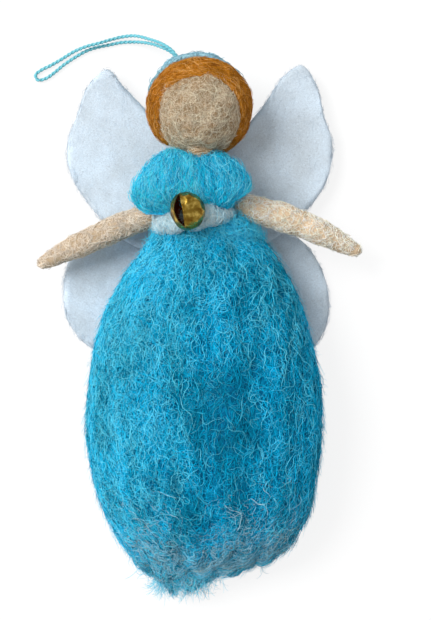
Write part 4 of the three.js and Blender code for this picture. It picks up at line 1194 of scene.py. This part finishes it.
def arm_skin(side):
    """Arm from the round end in the shoulder to its narrower tip, bowed and falling along its length."""
    arm = ARMS[side]
    length = arm["length"]
    tip_radius = ARM_RADIUS * (1 - ARM_TAPER)
    dome = np.linspace(POLE_GAP, math.pi / 2, 12)
    root_dome, tip_dome = dome[:-1], dome[-2::-1]
    shares = np.linspace(0, 1, 130)
    shaft = ARM_RADIUS * (1 - ARM_TAPER * shares ** ARM_TAPER_POWER) + arm["swell"] * np.sin(math.pi * shares)
    along = np.concatenate(
        (-ARM_RADIUS * np.cos(root_dome), length * shares, length + tip_radius * np.cos(tip_dome))
    )[:, None]
    radius = np.concatenate(
        (ARM_RADIUS * np.sin(root_dome), shaft, tip_radius * np.sin(tip_dome))
    )[:, None]
    share = np.clip(along / length, 0, 1)
    turns = grid(1, 54)[1]
    bow = 4 * arm["bow"] * share * (1 - share)
    own = surface(along, bow + radius * np.cos(turns), radius * np.sin(turns) - arm["fall"] * share)
    skin = Skin(turned(own, arm["heading"]) + joint_place(f"{side}_shoulder"))
    skin.swell(bumps(skin.points, ARM_BUMPS, arm["seed"]))
    return skin


def to_bell(points):
    """Points from the bell's own frame, with its slot up, to where it leans on its staple."""
    lean, turn = math.radians(BELL_LEAN), math.radians(SLOT_LEAN)
    middle = BELL_HINGE + BELL_STAND_OFF * np.array((-math.sin(lean), 0, math.cos(lean)))
    x, y, z = np.moveaxis(points, -1, 0)
    return middle + surface(
        x * math.cos(turn) - z * math.sin(turn), y, x * math.sin(turn) + z * math.cos(turn)
    )


def dented_ball(directions):
    """Share of the radius that is left where flat dents, spread evenly but not quite, cut a ball."""
    chance = np.random.default_rng(DENT_SEED)
    number = np.arange(BELL_DENTS)
    rise = 1 - (2 * number + 1) / BELL_DENTS
    turn = number * math.pi * (3 - math.sqrt(5))
    level = np.sqrt(1 - rise ** 2)
    middles = surface(level * np.cos(turn), level * np.sin(turn), rise)
    middles += chance.normal(0, DENT_SCATTER, middles.shape)
    middles /= lengths(middles)[:, None]
    nearest = (directions @ middles.T).max(axis=-1)
    return np.minimum(1, math.cos(DENT_ANGLE) / nearest)


def bell_rings(shrink, rows, dent):
    """Rings of one face of the bell from the edge of its slot to the pole opposite."""
    wide, tall = BELL_RADIUS - shrink, BELL_HALF_HEIGHT - shrink
    turns = grid(1, 160)[1][0]
    cosine, sine = np.abs(np.cos(turns)), np.abs(np.sin(turns))
    bulge = SLOT_HALF_WIDTH * (sine / SLOT_HALF_LENGTH) ** 2
    reach = 2 * SLOT_HALF_WIDTH / (cosine + np.sqrt(cosine ** 2 + 4 * SLOT_HALF_WIDTH * bulge))
    lip = np.arcsin(np.clip(reach * np.sqrt((cosine / wide) ** 2 + (sine / tall) ** 2), 0, 0.99))
    shares = np.linspace(0, 0.995, rows)[:, None]
    polar = lip + (math.pi - lip) * shares
    flare = LIP_FLARE * np.exp(-((polar - lip) / LIP_WIDTH) ** 2)
    level = np.sin(polar)
    spot = surface(wide * level * np.cos(turns), tall * level * np.sin(turns), wide * np.cos(polar))
    left_over = dented_ball(spot / np.array((wide, tall, wide)))
    push = dent * (wide * (left_over - 1) + bumps(spot, BELL_BUMPS)) * np.clip(shares * 8, 0, 1)
    return turned(spot * (1 + (flare + push) / wide)[..., None], SLOT_TURN)


def bell_skin():
    """Both faces of the bell's shell, the inner one first, joined over the lip of the slot."""
    outer = bell_rings(0, 120, 1)
    inner = bell_rings(BELL_WALL, 60, INSIDE_DENTS)
    lip = (outer[:1] + inner[:1]) / 2 * LIP_ROLL
    return Skin(to_bell(np.concatenate((inner[::-1], lip, outer)))), len(inner)


def twisted_plies(path, diameter, pitch, plies=2, sides=8):
    """Skins of plies twisted round a path."""
    side, up = side_and_up(np.gradient(path, axis=0), (0, 0, 1))
    skins = []
    for ply in range(plies):
        angle = FULL_TURN * (travelled_along(path) / pitch + ply / plies)
        out = side * np.cos(angle)[:, None] + up * np.sin(angle)[:, None]
        centre = path + out * diameter * PLY_OFFSET
        skins.append(Skin(rings_round(centre, side, up, diameter * PLY_RADIUS, sides)))
    return skins


def knot_skin():
    """One strand along a closed overhand knot, as wide as the knot's solid."""
    low, high = node_box("cord_knot")
    turn = grid(1, 160)[1][0]
    loop = surface(
        np.sin(turn) + 2 * np.sin(2 * turn), np.cos(turn) - 2 * np.cos(2 * turn), -np.sin(3 * turn)
    )
    route = (low + high) / 2 + loop * (high[0] - low[0]) / 2 / 4
    along = np.roll(route, -1, axis=0) - np.roll(route, 1, axis=0)
    side, up = side_and_up(along, (0.1, 0.2, 1))
    return Skin(rings_round(route, side, up, KNOT_STRAND, 8), ring=True)


# Operators


class WOOLANGEL_OT_stage(bpy.types.Operator):
    """Make the white surface, the soft light and the camera"""

    bl_idname = "wool_angel.stage"
    bl_label = "Stage"

    def execute(self, context):
        settings = context.scene.wool_angel_stage
        context.scene.view_settings.view_transform = "Standard"
        camera = bpy.data.cameras.new("Camera")
        camera.lens = settings.lens
        camera.sensor_width = SENSOR_WIDTH
        eye = bpy.data.objects.new("Camera", camera)
        eye.location = (CAMERA_PLACE[0] * MM, CAMERA_PLACE[1] * MM, settings.camera_height)
        context.scene.collection.objects.link(eye)
        context.scene.camera = eye

        key = bpy.data.lights.new("Key", "SUN")
        key.angle = math.radians(KEY_SPREAD)
        tilt = math.radians(KEY_TILT)
        key.energy = settings.key_level * math.pi / math.cos(tilt)
        lamp = bpy.data.objects.new("Key", key)
        lamp.rotation_euler = (tilt, 0, math.radians(KEY_SWING))
        context.scene.collection.objects.link(lamp)

        world = bpy.data.worlds.new("Room")
        world.use_nodes = True
        tree = world.node_tree
        tree.nodes.clear()
        seen = add_node(tree, "LightPath").outputs["Is Camera Ray"]
        tones = {"data_type": "RGBA", MIX_ONE: (*[settings.room_level] * 3, 1), MIX_OTHER: (1, 1, 1, 1)}
        tone = add_node(tree, "Mix", tones, {"Factor": seen})
        light = add_node(tree, "Background", links={"Color": tone.outputs[MIXED]})
        add_node(tree, "OutputWorld", links={"Surface": light})
        context.scene.world = world

        layout = np.array([(0, 0), (1, 0), (1, 1), (0, 1)], float)
        corners = np.column_stack((SURFACE_HALF * (2 * layout - 1), np.zeros(4)))
        paper = white_surface("Matt white paper")
        floor = new_piece("white_surface", corners, [np.arange(4)[None]], [layout[None]], [paper])
        return {"FINISHED"}


class WOOLANGEL_OT_cord(bpy.types.Operator):
    """Make the two-ply hanging cord and the knot under the hood"""

    bl_idname = "wool_angel.cord"
    bl_label = "Hanging cord"

    def execute(self, context):
        aqua = context.scene.wool_angel_colours.cord
        yarn = spun_thread("Spun aqua cotton", linear(CORD_DARK), shade(aqua), linear(CORD_PALE))
        path = smooth_path(CORD_ROUTE, 900)
        cord = plies_piece("aqua_cord", twisted_plies(path, CORD_DIAMETER, CORD_PITCH), yarn)
        dress(cord, "figure", "aqua_cord", "hang_cord")
        knot = dress(skin_piece("aqua_knot", knot_skin(), yarn), "figure", "aqua_cord", "cord_knot")
        return {"FINISHED"}


class WOOLANGEL_OT_head(bpy.types.Operator):
    """Make the blank face, the neck and their curls"""

    bl_idname = "wool_angel.head"
    bl_label = "Head"

    def execute(self, context):
        colours = context.scene.wool_angel_colours
        cream, pale = shade(colours.cream), shade(colours.cream_pale)
        felt = needle_felt(
            "Needle-felted cream wool", shade(colours.cream_dark), shade(cream, 0.85), shade(cream, 1.2)
        )
        curls = loose_fibres(
            "Loose cream curls", [(0, shade(cream, 0.8)), (0.35, shade(cream, 1.15)), (0.85, pale)],
            clump=(5, 5, 5), depth=0.75,
        )
        pale_curls = loose_fibres(
            "Pale cream curls", [(0, shade(pale, 0.9)), (1, shade(pale, 1.15))], clump=(3, 3, 3), depth=0.95
        )
        skin = head_skin()
        wool_piece("felted_head", skin, "cream_wool", felt, 0.95, "head")
        matted = dict(spread=math.pi, curl=1.3, loose=0.06, reach=1, keep=on_face, steps=13)
        lay_fibres("head_curls_short", skin, "cream_wool", curls, count=3000, seed=50, length=8,
                   thickness=0.085, lift=0.4, **matted)
        lay_fibres("head_curls_long", skin, "cream_wool", pale_curls, count=420, seed=51, length=13,
                   thickness=0.1, lift=0.6, **matted)
        skin = neck_skin()
        wool_piece("felted_neck", skin, "cream_wool", felt, 0.9, "neck")
        lay_fibres("neck_curls", skin, "cream_wool", curls, count=300, seed=2, length=5,
                   thickness=fibre_thickness(), heading=1.4, spread=0.5, lift=0.4)
        return {"FINISHED"}


class WOOLANGEL_OT_hair(bpy.types.Operator):
    """Make the band of roving from jaw to jaw"""

    bl_idname = "wool_angel.hair"
    bl_label = "Hair"

    def execute(self, context):
        colours = context.scene.wool_angel_colours
        dark, middle, gold = shade(colours.hair_dark), shade(colours.hair, 0.8), shade(colours.hair)
        roving = loose_fibres(
            "Combed golden roving", [(0, dark), (0.35, middle), (0.7, gold), (1, shade(colours.hair_pale))],
            clump=(4, 4, 4), depth=0.8,
        )
        under = carded_wool(
            "Golden roving beneath", dark, middle, gold, streak=(0.5, 0.5, 0.5), clump=(3, 3, 3), hollow=0.8
        )
        skin = hair_skin()
        wool_piece("roving_band", skin, "golden_roving", under, 0.7, "hair")
        combed = dict(vary=(0.6, 1.2), curl=0.8, loose=0.15, reach=1.1, keep=on_hair, steps=14)
        lay_fibres("roving_strands", skin, "golden_roving", roving, count=2500, seed=60, length=11,
                   thickness=0.14, lift=0.4, spread=0.3, **combed)
        lay_fibres("roving_fibres", skin, "golden_roving", roving, count=2500, seed=61, length=8,
                   thickness=0.09, lift=0.9, spread=0.6, **combed)
        return {"FINISHED"}


class WOOLANGEL_OT_hood(bpy.types.Operator):
    """Make the thin wool hood behind the hair"""

    bl_idname = "wool_angel.hood"
    bl_label = "Hood"

    def execute(self, context):
        blue = shade(context.scene.wool_angel_colours.hood)
        wool = needle_felt("Felted blue hood wool", shade(blue, 0.55), blue, shade(blue, 1.4), curl=1.0)
        fluff = loose_fibres(
            "Loose hood fibres", [(0, shade(blue, 0.7)), (0.6, blue), (1, shade(blue, 1.5))],
            clump=(3, 3, 3), depth=0.8,
        )
        skin = hood_skin()
        wool_piece("wool_hood", skin, "hood_wool", wool, 0.6, "hood")
        lay_fibres("hood_fibres", skin, "hood_wool", fluff, count=1900, seed=4, length=7,
                   thickness=fibre_thickness(), spread=math.pi, curl=0.9, lift=0.4, loose=0.12, reach=1.2,
                   keep=on_hood)
        return {"FINISHED"}


class WOOLANGEL_OT_bodice(bpy.types.Operator):
    """Make the two bundles of blue wool over the shoulders and the core beneath"""

    bl_idname = "wool_angel.bodice"
    bl_label = "Bodice"

    def execute(self, context):
        colours = context.scene.wool_angel_colours
        dark, blue, pale = shade(colours.bodice_dark), shade(colours.bodice), shade(colours.bodice_pale)
        wool = carded_wool("Carded bright blue wool", dark, blue, pale, hollow=0.9)
        pale_fluff = loose_fibres(
            "Loose pale bright blue fibres", [(0, shade(blue, 1.2)), (1, shade(pale, 1.1))], depth=0.95
        )
        wool_piece("wool_core", torso_skin(), "bodice_wool", wool, 0.9, "torso_core")
        combed = dict(spread=0.3, curl=0.6, reach=2.4, steps=11)
        # Painted light: the left bundle, which faces the key lamp, is painted paler and gets many more pale
        # fibres, and the right bundle is painted darker
        for side, name, painted_light, painted_light_pale_count in ((-1, "left", 1.1, 3600), (1, "right", 0.93, 500)):
            skin = bodice_skin(side)
            fluff = loose_fibres(
                f"Loose bright blue fibres, {name}",
                [(0, shade(dark, 0.56 * painted_light)), (0.35, shade(blue, 0.92 * painted_light)),
                 (0.7, shade(blue, 1.35 * painted_light)), (1, shade(pale, 1.1))],
                depth=0.88,
            )
            wool_piece(f"bodice_wool_{name}", skin, "bodice_wool", wool, 0.6, f"bodice_{name}")
            lay_fibres(f"bodice_fibres_{name}", skin, "bodice_wool", fluff, count=3600, seed=10 + side,
                       length=9, thickness=0.16, lift=0.5, loose=0.1, **combed)
            lay_fibres(f"bodice_halo_{name}", skin, "bodice_wool", fluff, count=1800, seed=13 + side,
                       length=8, thickness=0.09, lift=0.8, loose=0.8, **combed)
            lay_fibres(f"bodice_pale_{name}", skin, "bodice_wool", pale_fluff, count=painted_light_pale_count, seed=16 + side,
                       length=9, thickness=0.18, lift=0.7, loose=0.2, **combed)
        return {"FINISHED"}


class WOOLANGEL_OT_sash(bpy.types.Operator):
    """Make the white wool sash round the waist"""

    bl_idname = "wool_angel.sash"
    bl_label = "Sash"

    def execute(self, context):
        white = shade(context.scene.wool_angel_colours.sash)
        wool = carded_wool(
            "Carded white wool", shade(white, 0.94), white, shade(white, 1.1),
            streak=(3.2, 0.45, 3.2), clump=(6, 2.5, 6), hollow=0.97,
        )
        fluff = loose_fibres(
            "Loose white fibres", [(0, linear(SASH_BLUISH)), (0.35, white), (1, shade(white, 1.15))],
            clump=(6, 3, 6), depth=0.97,
        )
        skin = belt_skin()
        wool_piece("wool_sash", skin, "sash_wool", wool, 0.6, "belt")
        lay_fibres("sash_fibres", skin, "sash_wool", fluff, count=2800, seed=5, length=8, thickness=0.12,
                   spread=0.6, curl=1, lift=1.4, loose=0.4, reach=2, keep=on_sash_front)
        return {"FINISHED"}


class WOOLANGEL_OT_skirt(bpy.types.Operator):
    """Make the long wool skirt with its loose fibres and ragged hem"""

    bl_idname = "wool_angel.skirt"
    bl_label = "Skirt"

    def execute(self, context):
        colours = context.scene.wool_angel_colours
        dark, blue, pale = shade(colours.skirt_dark), shade(colours.skirt), shade(colours.skirt_pale)
        wool = carded_wool(
            "Carded blue wool", shade(dark, 0.7), shade(dark, 1.2), blue, hollow=0.82,
            thin=(linear(THIN_HEM), HEM_LINE + 24, HEM_LINE + 4),
        )
        # Painted shade: tufts long along the skirt darken these fibres by up to half, like the shade in soft
        # folds
        fluff = loose_fibres(
            "Loose blue fibres",
            [(0, shade(dark, 1.1)), (0.4, shade(blue, 1.08)), (0.75, shade(blue, 1.35)), (1, pale)],
            clump=(10, 34, 10), depth=0.5,
        )
        pale_fluff = loose_fibres(
            "Loose pale blue fibres", [(0, shade(blue, 1.5)), (0.8, pale)], clump=(10, 34, 10), depth=0.8
        )
        undyed = loose_fibres(
            "Undyed wool at the hem", [(place, linear(code)) for place, code in UNDYED_WOOL], depth=0.95
        )
        skin = skirt_skin()
        wool_piece("wool_skirt", skin, "skirt_wool", wool, 0.5, "skirt_front", "skirt_back")
        usual = dict(
            length=context.scene.wool_angel_fibres.length / MM, thickness=fibre_thickness(), heading=0,
            layers=1, count=3600,
        )
        thin = 0.8 * usual["thickness"]
        upwards = dict(length=0.7 * usual["length"], thickness=0.7 * usual["thickness"], heading=math.pi)
        coats = {
            "front": dict(layers=3, keep=on_skirt_front, wool=fluff, loose=0.12, reach=1.5),
            "sides": dict(layers=2, keep=on_skirt_sides, wool=fluff, loose=0.45, reach=2.4, thickness=thin),
            # Painted light: pale fibres on the skirt's left, its top and its right edge
            "pale": dict(layers=2, keep=on_painted_light_parts, wool=pale_fluff, loose=0.2, reach=1.5),
            "halo": dict(
                keep=on_skirt_sides, wool=pale_fluff, loose=0.95, reach=3.4, thickness=usual["thickness"] / 2,
            ),
            "hem": dict(count=2400, keep=near_hem, wool=undyed, loose=0.4, reach=1.6, thickness=thin),
            "undyed": dict(count=3000, keep=beside_hem, wool=undyed, loose=0.4, reach=1.4, thickness=thin),
            "waist": dict(count=1100, keep=round_waist, wool=pale_fluff, loose=1, reach=5, **upwards),
        }
        for number, (name, own) in enumerate(coats.items()):
            coat = {**usual, **own}
            for layer in range(coat.pop("layers")):
                lay_fibres(f"skirt_{name}_{layer + 1}", skin, "skirt_wool", seed=20 + 5 * number + layer,
                           vary=(0.5, 1), spread=0.65, curl=1, lift=1, steps=11, overhang=7, **coat)
        for number, (name, wisp_wool) in enumerate({"blue": pale_fluff, "undyed": undyed}.items()):
            chance = chance_for(90 + number)
            paths = hang_wisps(skin, amount_of(260), chance, 0.6 * usual["length"], on_ragged_hem)
            thickness = usual["thickness"] * chance.uniform(0.3, 0.7, len(paths))
            dress(strand_piece(f"skirt_wisps_{name}", paths, thickness, wisp_wool), "figure", "skirt_wool")
        return {"FINISHED"}


class WOOLANGEL_OT_wings(bpy.types.Operator):
    """Make the two felt pieces with the wings, and give the stitches that hold them their thread"""

    bl_idname = "wool_angel.wings"
    bl_label = "Wings"

    def execute(self, context):
        white = shade(context.scene.wool_angel_colours.felt)
        felt = needle_felt(
            "White wool felt", shade(white, 0.78), white, shade(white, 1.2),
            curl=1.4, blotch=12, bump_depth=0.1, swirl=4,
        )
        fluff = loose_fibres(
            "Loose white felt fibres", [(0, shade(white, 0.93)), (0.5, white), (1, shade(white, 1.06))],
            clump=(9, 9, 9), depth=0.96,
        )
        thread = spun_thread("White sewing thread", *map(linear, THREAD_TONES))
        matted = dict(length=5, spread=math.pi, curl=1.2)
        for name, plan in WINGS.items():
            skin, edge = wing_skin(**plan)
            wings = dress(
                skin_piece(f"felt_wings_{name}", skin, felt), "figure", "white_felt", f"{name}_wings"
            )
            fibres = lay_fibres(f"felt_fibres_{name}", skin, "white_felt", fluff, count=1500,
                                seed=plan["seed"], thickness=0.03, lift=0.05, loose=0.03, reach=0.3, **matted)
            rim = (np.abs(skin.normals[..., 2]) < 0.75) * 1.0
            edging = lay_fibres(f"felt_edging_{name}", skin, "white_felt", fluff, count=900,
                                seed=plan["seed"] + 1, thickness=0.07, lift=0.3, loose=0.8, reach=1.3,
                                keep=lambda points, weight=rim: weight, **matted)
            frame["nodes"][f"wing_stitch_{name}"].data.materials[0] = thread
        return {"FINISHED"}


class WOOLANGEL_OT_arms(bpy.types.Operator):
    """Make the felted arms, and give the wires their finish"""

    bl_idname = "wool_angel.arms"
    bl_label = "Arms"

    def execute(self, context):
        colours = context.scene.wool_angel_colours
        steel = drawn_steel("Drawn steel wire")
        for number, (side, arm) in enumerate(ARMS.items()):
            painted_light, body = arm["painted_light"], f"{side}_arm"
            # Painted light: each arm's felt and curls are made brighter or darker by its share, the right arm
            # painted lit and the left painted in shade
            cream = shade(colours.arm, painted_light)
            felt = needle_felt(
                f"Needle-felted wool of the {side} arm", shade(colours.arm_deep, 0.6 * painted_light),
                shade(colours.arm_deep, 0.82 * painted_light), cream, curl=0.55, bump_depth=0.08, swirl=3.5,
            )
            curls = loose_fibres(
                f"Loose curls of the {side} arm",
                [(0, cream), (0.4, shade(cream, 1.2)), (1, shade(cream, 1.45))],
                clump=(2.5, 2.5, 2.5), depth=0.94,
            )
            skin = arm_skin(side)
            wool_piece(f"felted_arm_{side}", skin, "cream_wool", felt, 0.9, f"arm_{side}", body=body)
            lay_fibres(f"arm_curls_{side}", skin, "cream_wool", curls, count=1200, seed=40 + number, length=6,
                       thickness=0.18, body=body, spread=1.2, curl=1.6, lift=0.25, loose=0.15, reach=0.9)
        for wire in ("arm_wire_left", "arm_wire_right", "spine_wire", "shoulder_wire"):
            frame["nodes"][wire].data.materials[0] = steel
        return {"FINISHED"}


class WOOLANGEL_OT_bell(bpy.types.Operator):
    """Make the dented bell with its slot, and finish its staple, pellet and thread"""

    bl_idname = "wool_angel.bell"
    bl_label = "Bell"

    def execute(self, context):
        brass = hammered_brass("Dented polished brass", shade(context.scene.wool_angel_colours.brass))
        inside = tarnished_inside("Tarnished inside of the brass")
        skin, inner_rows = bell_skin()
        points, faces, uvs = skin_faces(skin)
        columns = skin.points.shape[1]
        row = np.arange(len(faces[0])) // columns
        kind = np.concatenate((np.where(row < inner_rows - 2, 1, 0), np.ones(columns), np.zeros(columns)))
        shell = new_piece("brass_bell", points, faces, uvs, [brass, inside], kind)
        dress(shell, "bell", "bell_brass", "bell_shell")
        thread = spun_thread("White tying thread", *map(linear, THREAD_TONES))
        frame["nodes"]["bell_loop"].data.materials[0] = brass
        frame["nodes"]["bell_pellet"].data.materials[0] = drawn_steel("Steel shot")
        frame["nodes"]["bell_thread"].data.materials[0] = thread
        return {"FINISHED"}


class WOOLANGEL_PT_panel(bpy.types.Panel):
    """Sizes, colours and pieces of the wool angel"""

    bl_label = "Wool angel"
    bl_idname = "WOOLANGEL_PT_panel"
    bl_space_type = "VIEW_3D"
    bl_region_type = "UI"
    bl_category = "Wool angel"

    def draw(self, context):
        for group in GROUPS:
            settings = getattr(context.scene, group)
            box = self.layout.box()
            for name in settings.bl_rna.properties.keys():
                if name not in ("rna_type", "name"):
                    box.prop(settings, name)
        for operator in OPERATORS:
            self.layout.operator(operator.bl_idname)


OPERATORS = (
    WOOLANGEL_OT_stage, WOOLANGEL_OT_cord, WOOLANGEL_OT_head, WOOLANGEL_OT_hair, WOOLANGEL_OT_hood,
    WOOLANGEL_OT_bodice, WOOLANGEL_OT_sash, WOOLANGEL_OT_skirt, WOOLANGEL_OT_wings, WOOLANGEL_OT_arms,
    WOOLANGEL_OT_bell,
)
GROUPS = {
    "wool_angel_colours": WoolAngelColours,
    "wool_angel_fibres": WoolAngelFibres,
    "wool_angel_stage": WoolAngelStage,
}


def register():
    for name, group in GROUPS.items():
        bpy.utils.register_class(group)
        setattr(bpy.types.Scene, name, bpy.props.PointerProperty(type=group))
    for operator in OPERATORS:
        bpy.utils.register_class(operator)
    bpy.utils.register_class(WOOLANGEL_PT_panel)


def unregister():
    bpy.utils.unregister_class(WOOLANGEL_PT_panel)
    for operator in reversed(OPERATORS):
        bpy.utils.unregister_class(operator)
    for name, group in GROUPS.items():
        delattr(bpy.types.Scene, name)
        bpy.utils.unregister_class(group)


def main():
    register()
    bpy.ops.wool_angel.stage()
    bpy.ops.wool_angel.cord()
    bpy.ops.wool_angel.head()
    bpy.ops.wool_angel.hair()
    bpy.ops.wool_angel.hood()
    bpy.ops.wool_angel.bodice()
    bpy.ops.wool_angel.sash()
    bpy.ops.wool_angel.skirt()
    bpy.ops.wool_angel.wings()
    bpy.ops.wool_angel.arms()
    bpy.ops.wool_angel.bell()


if __name__ == "__main__":
    main()
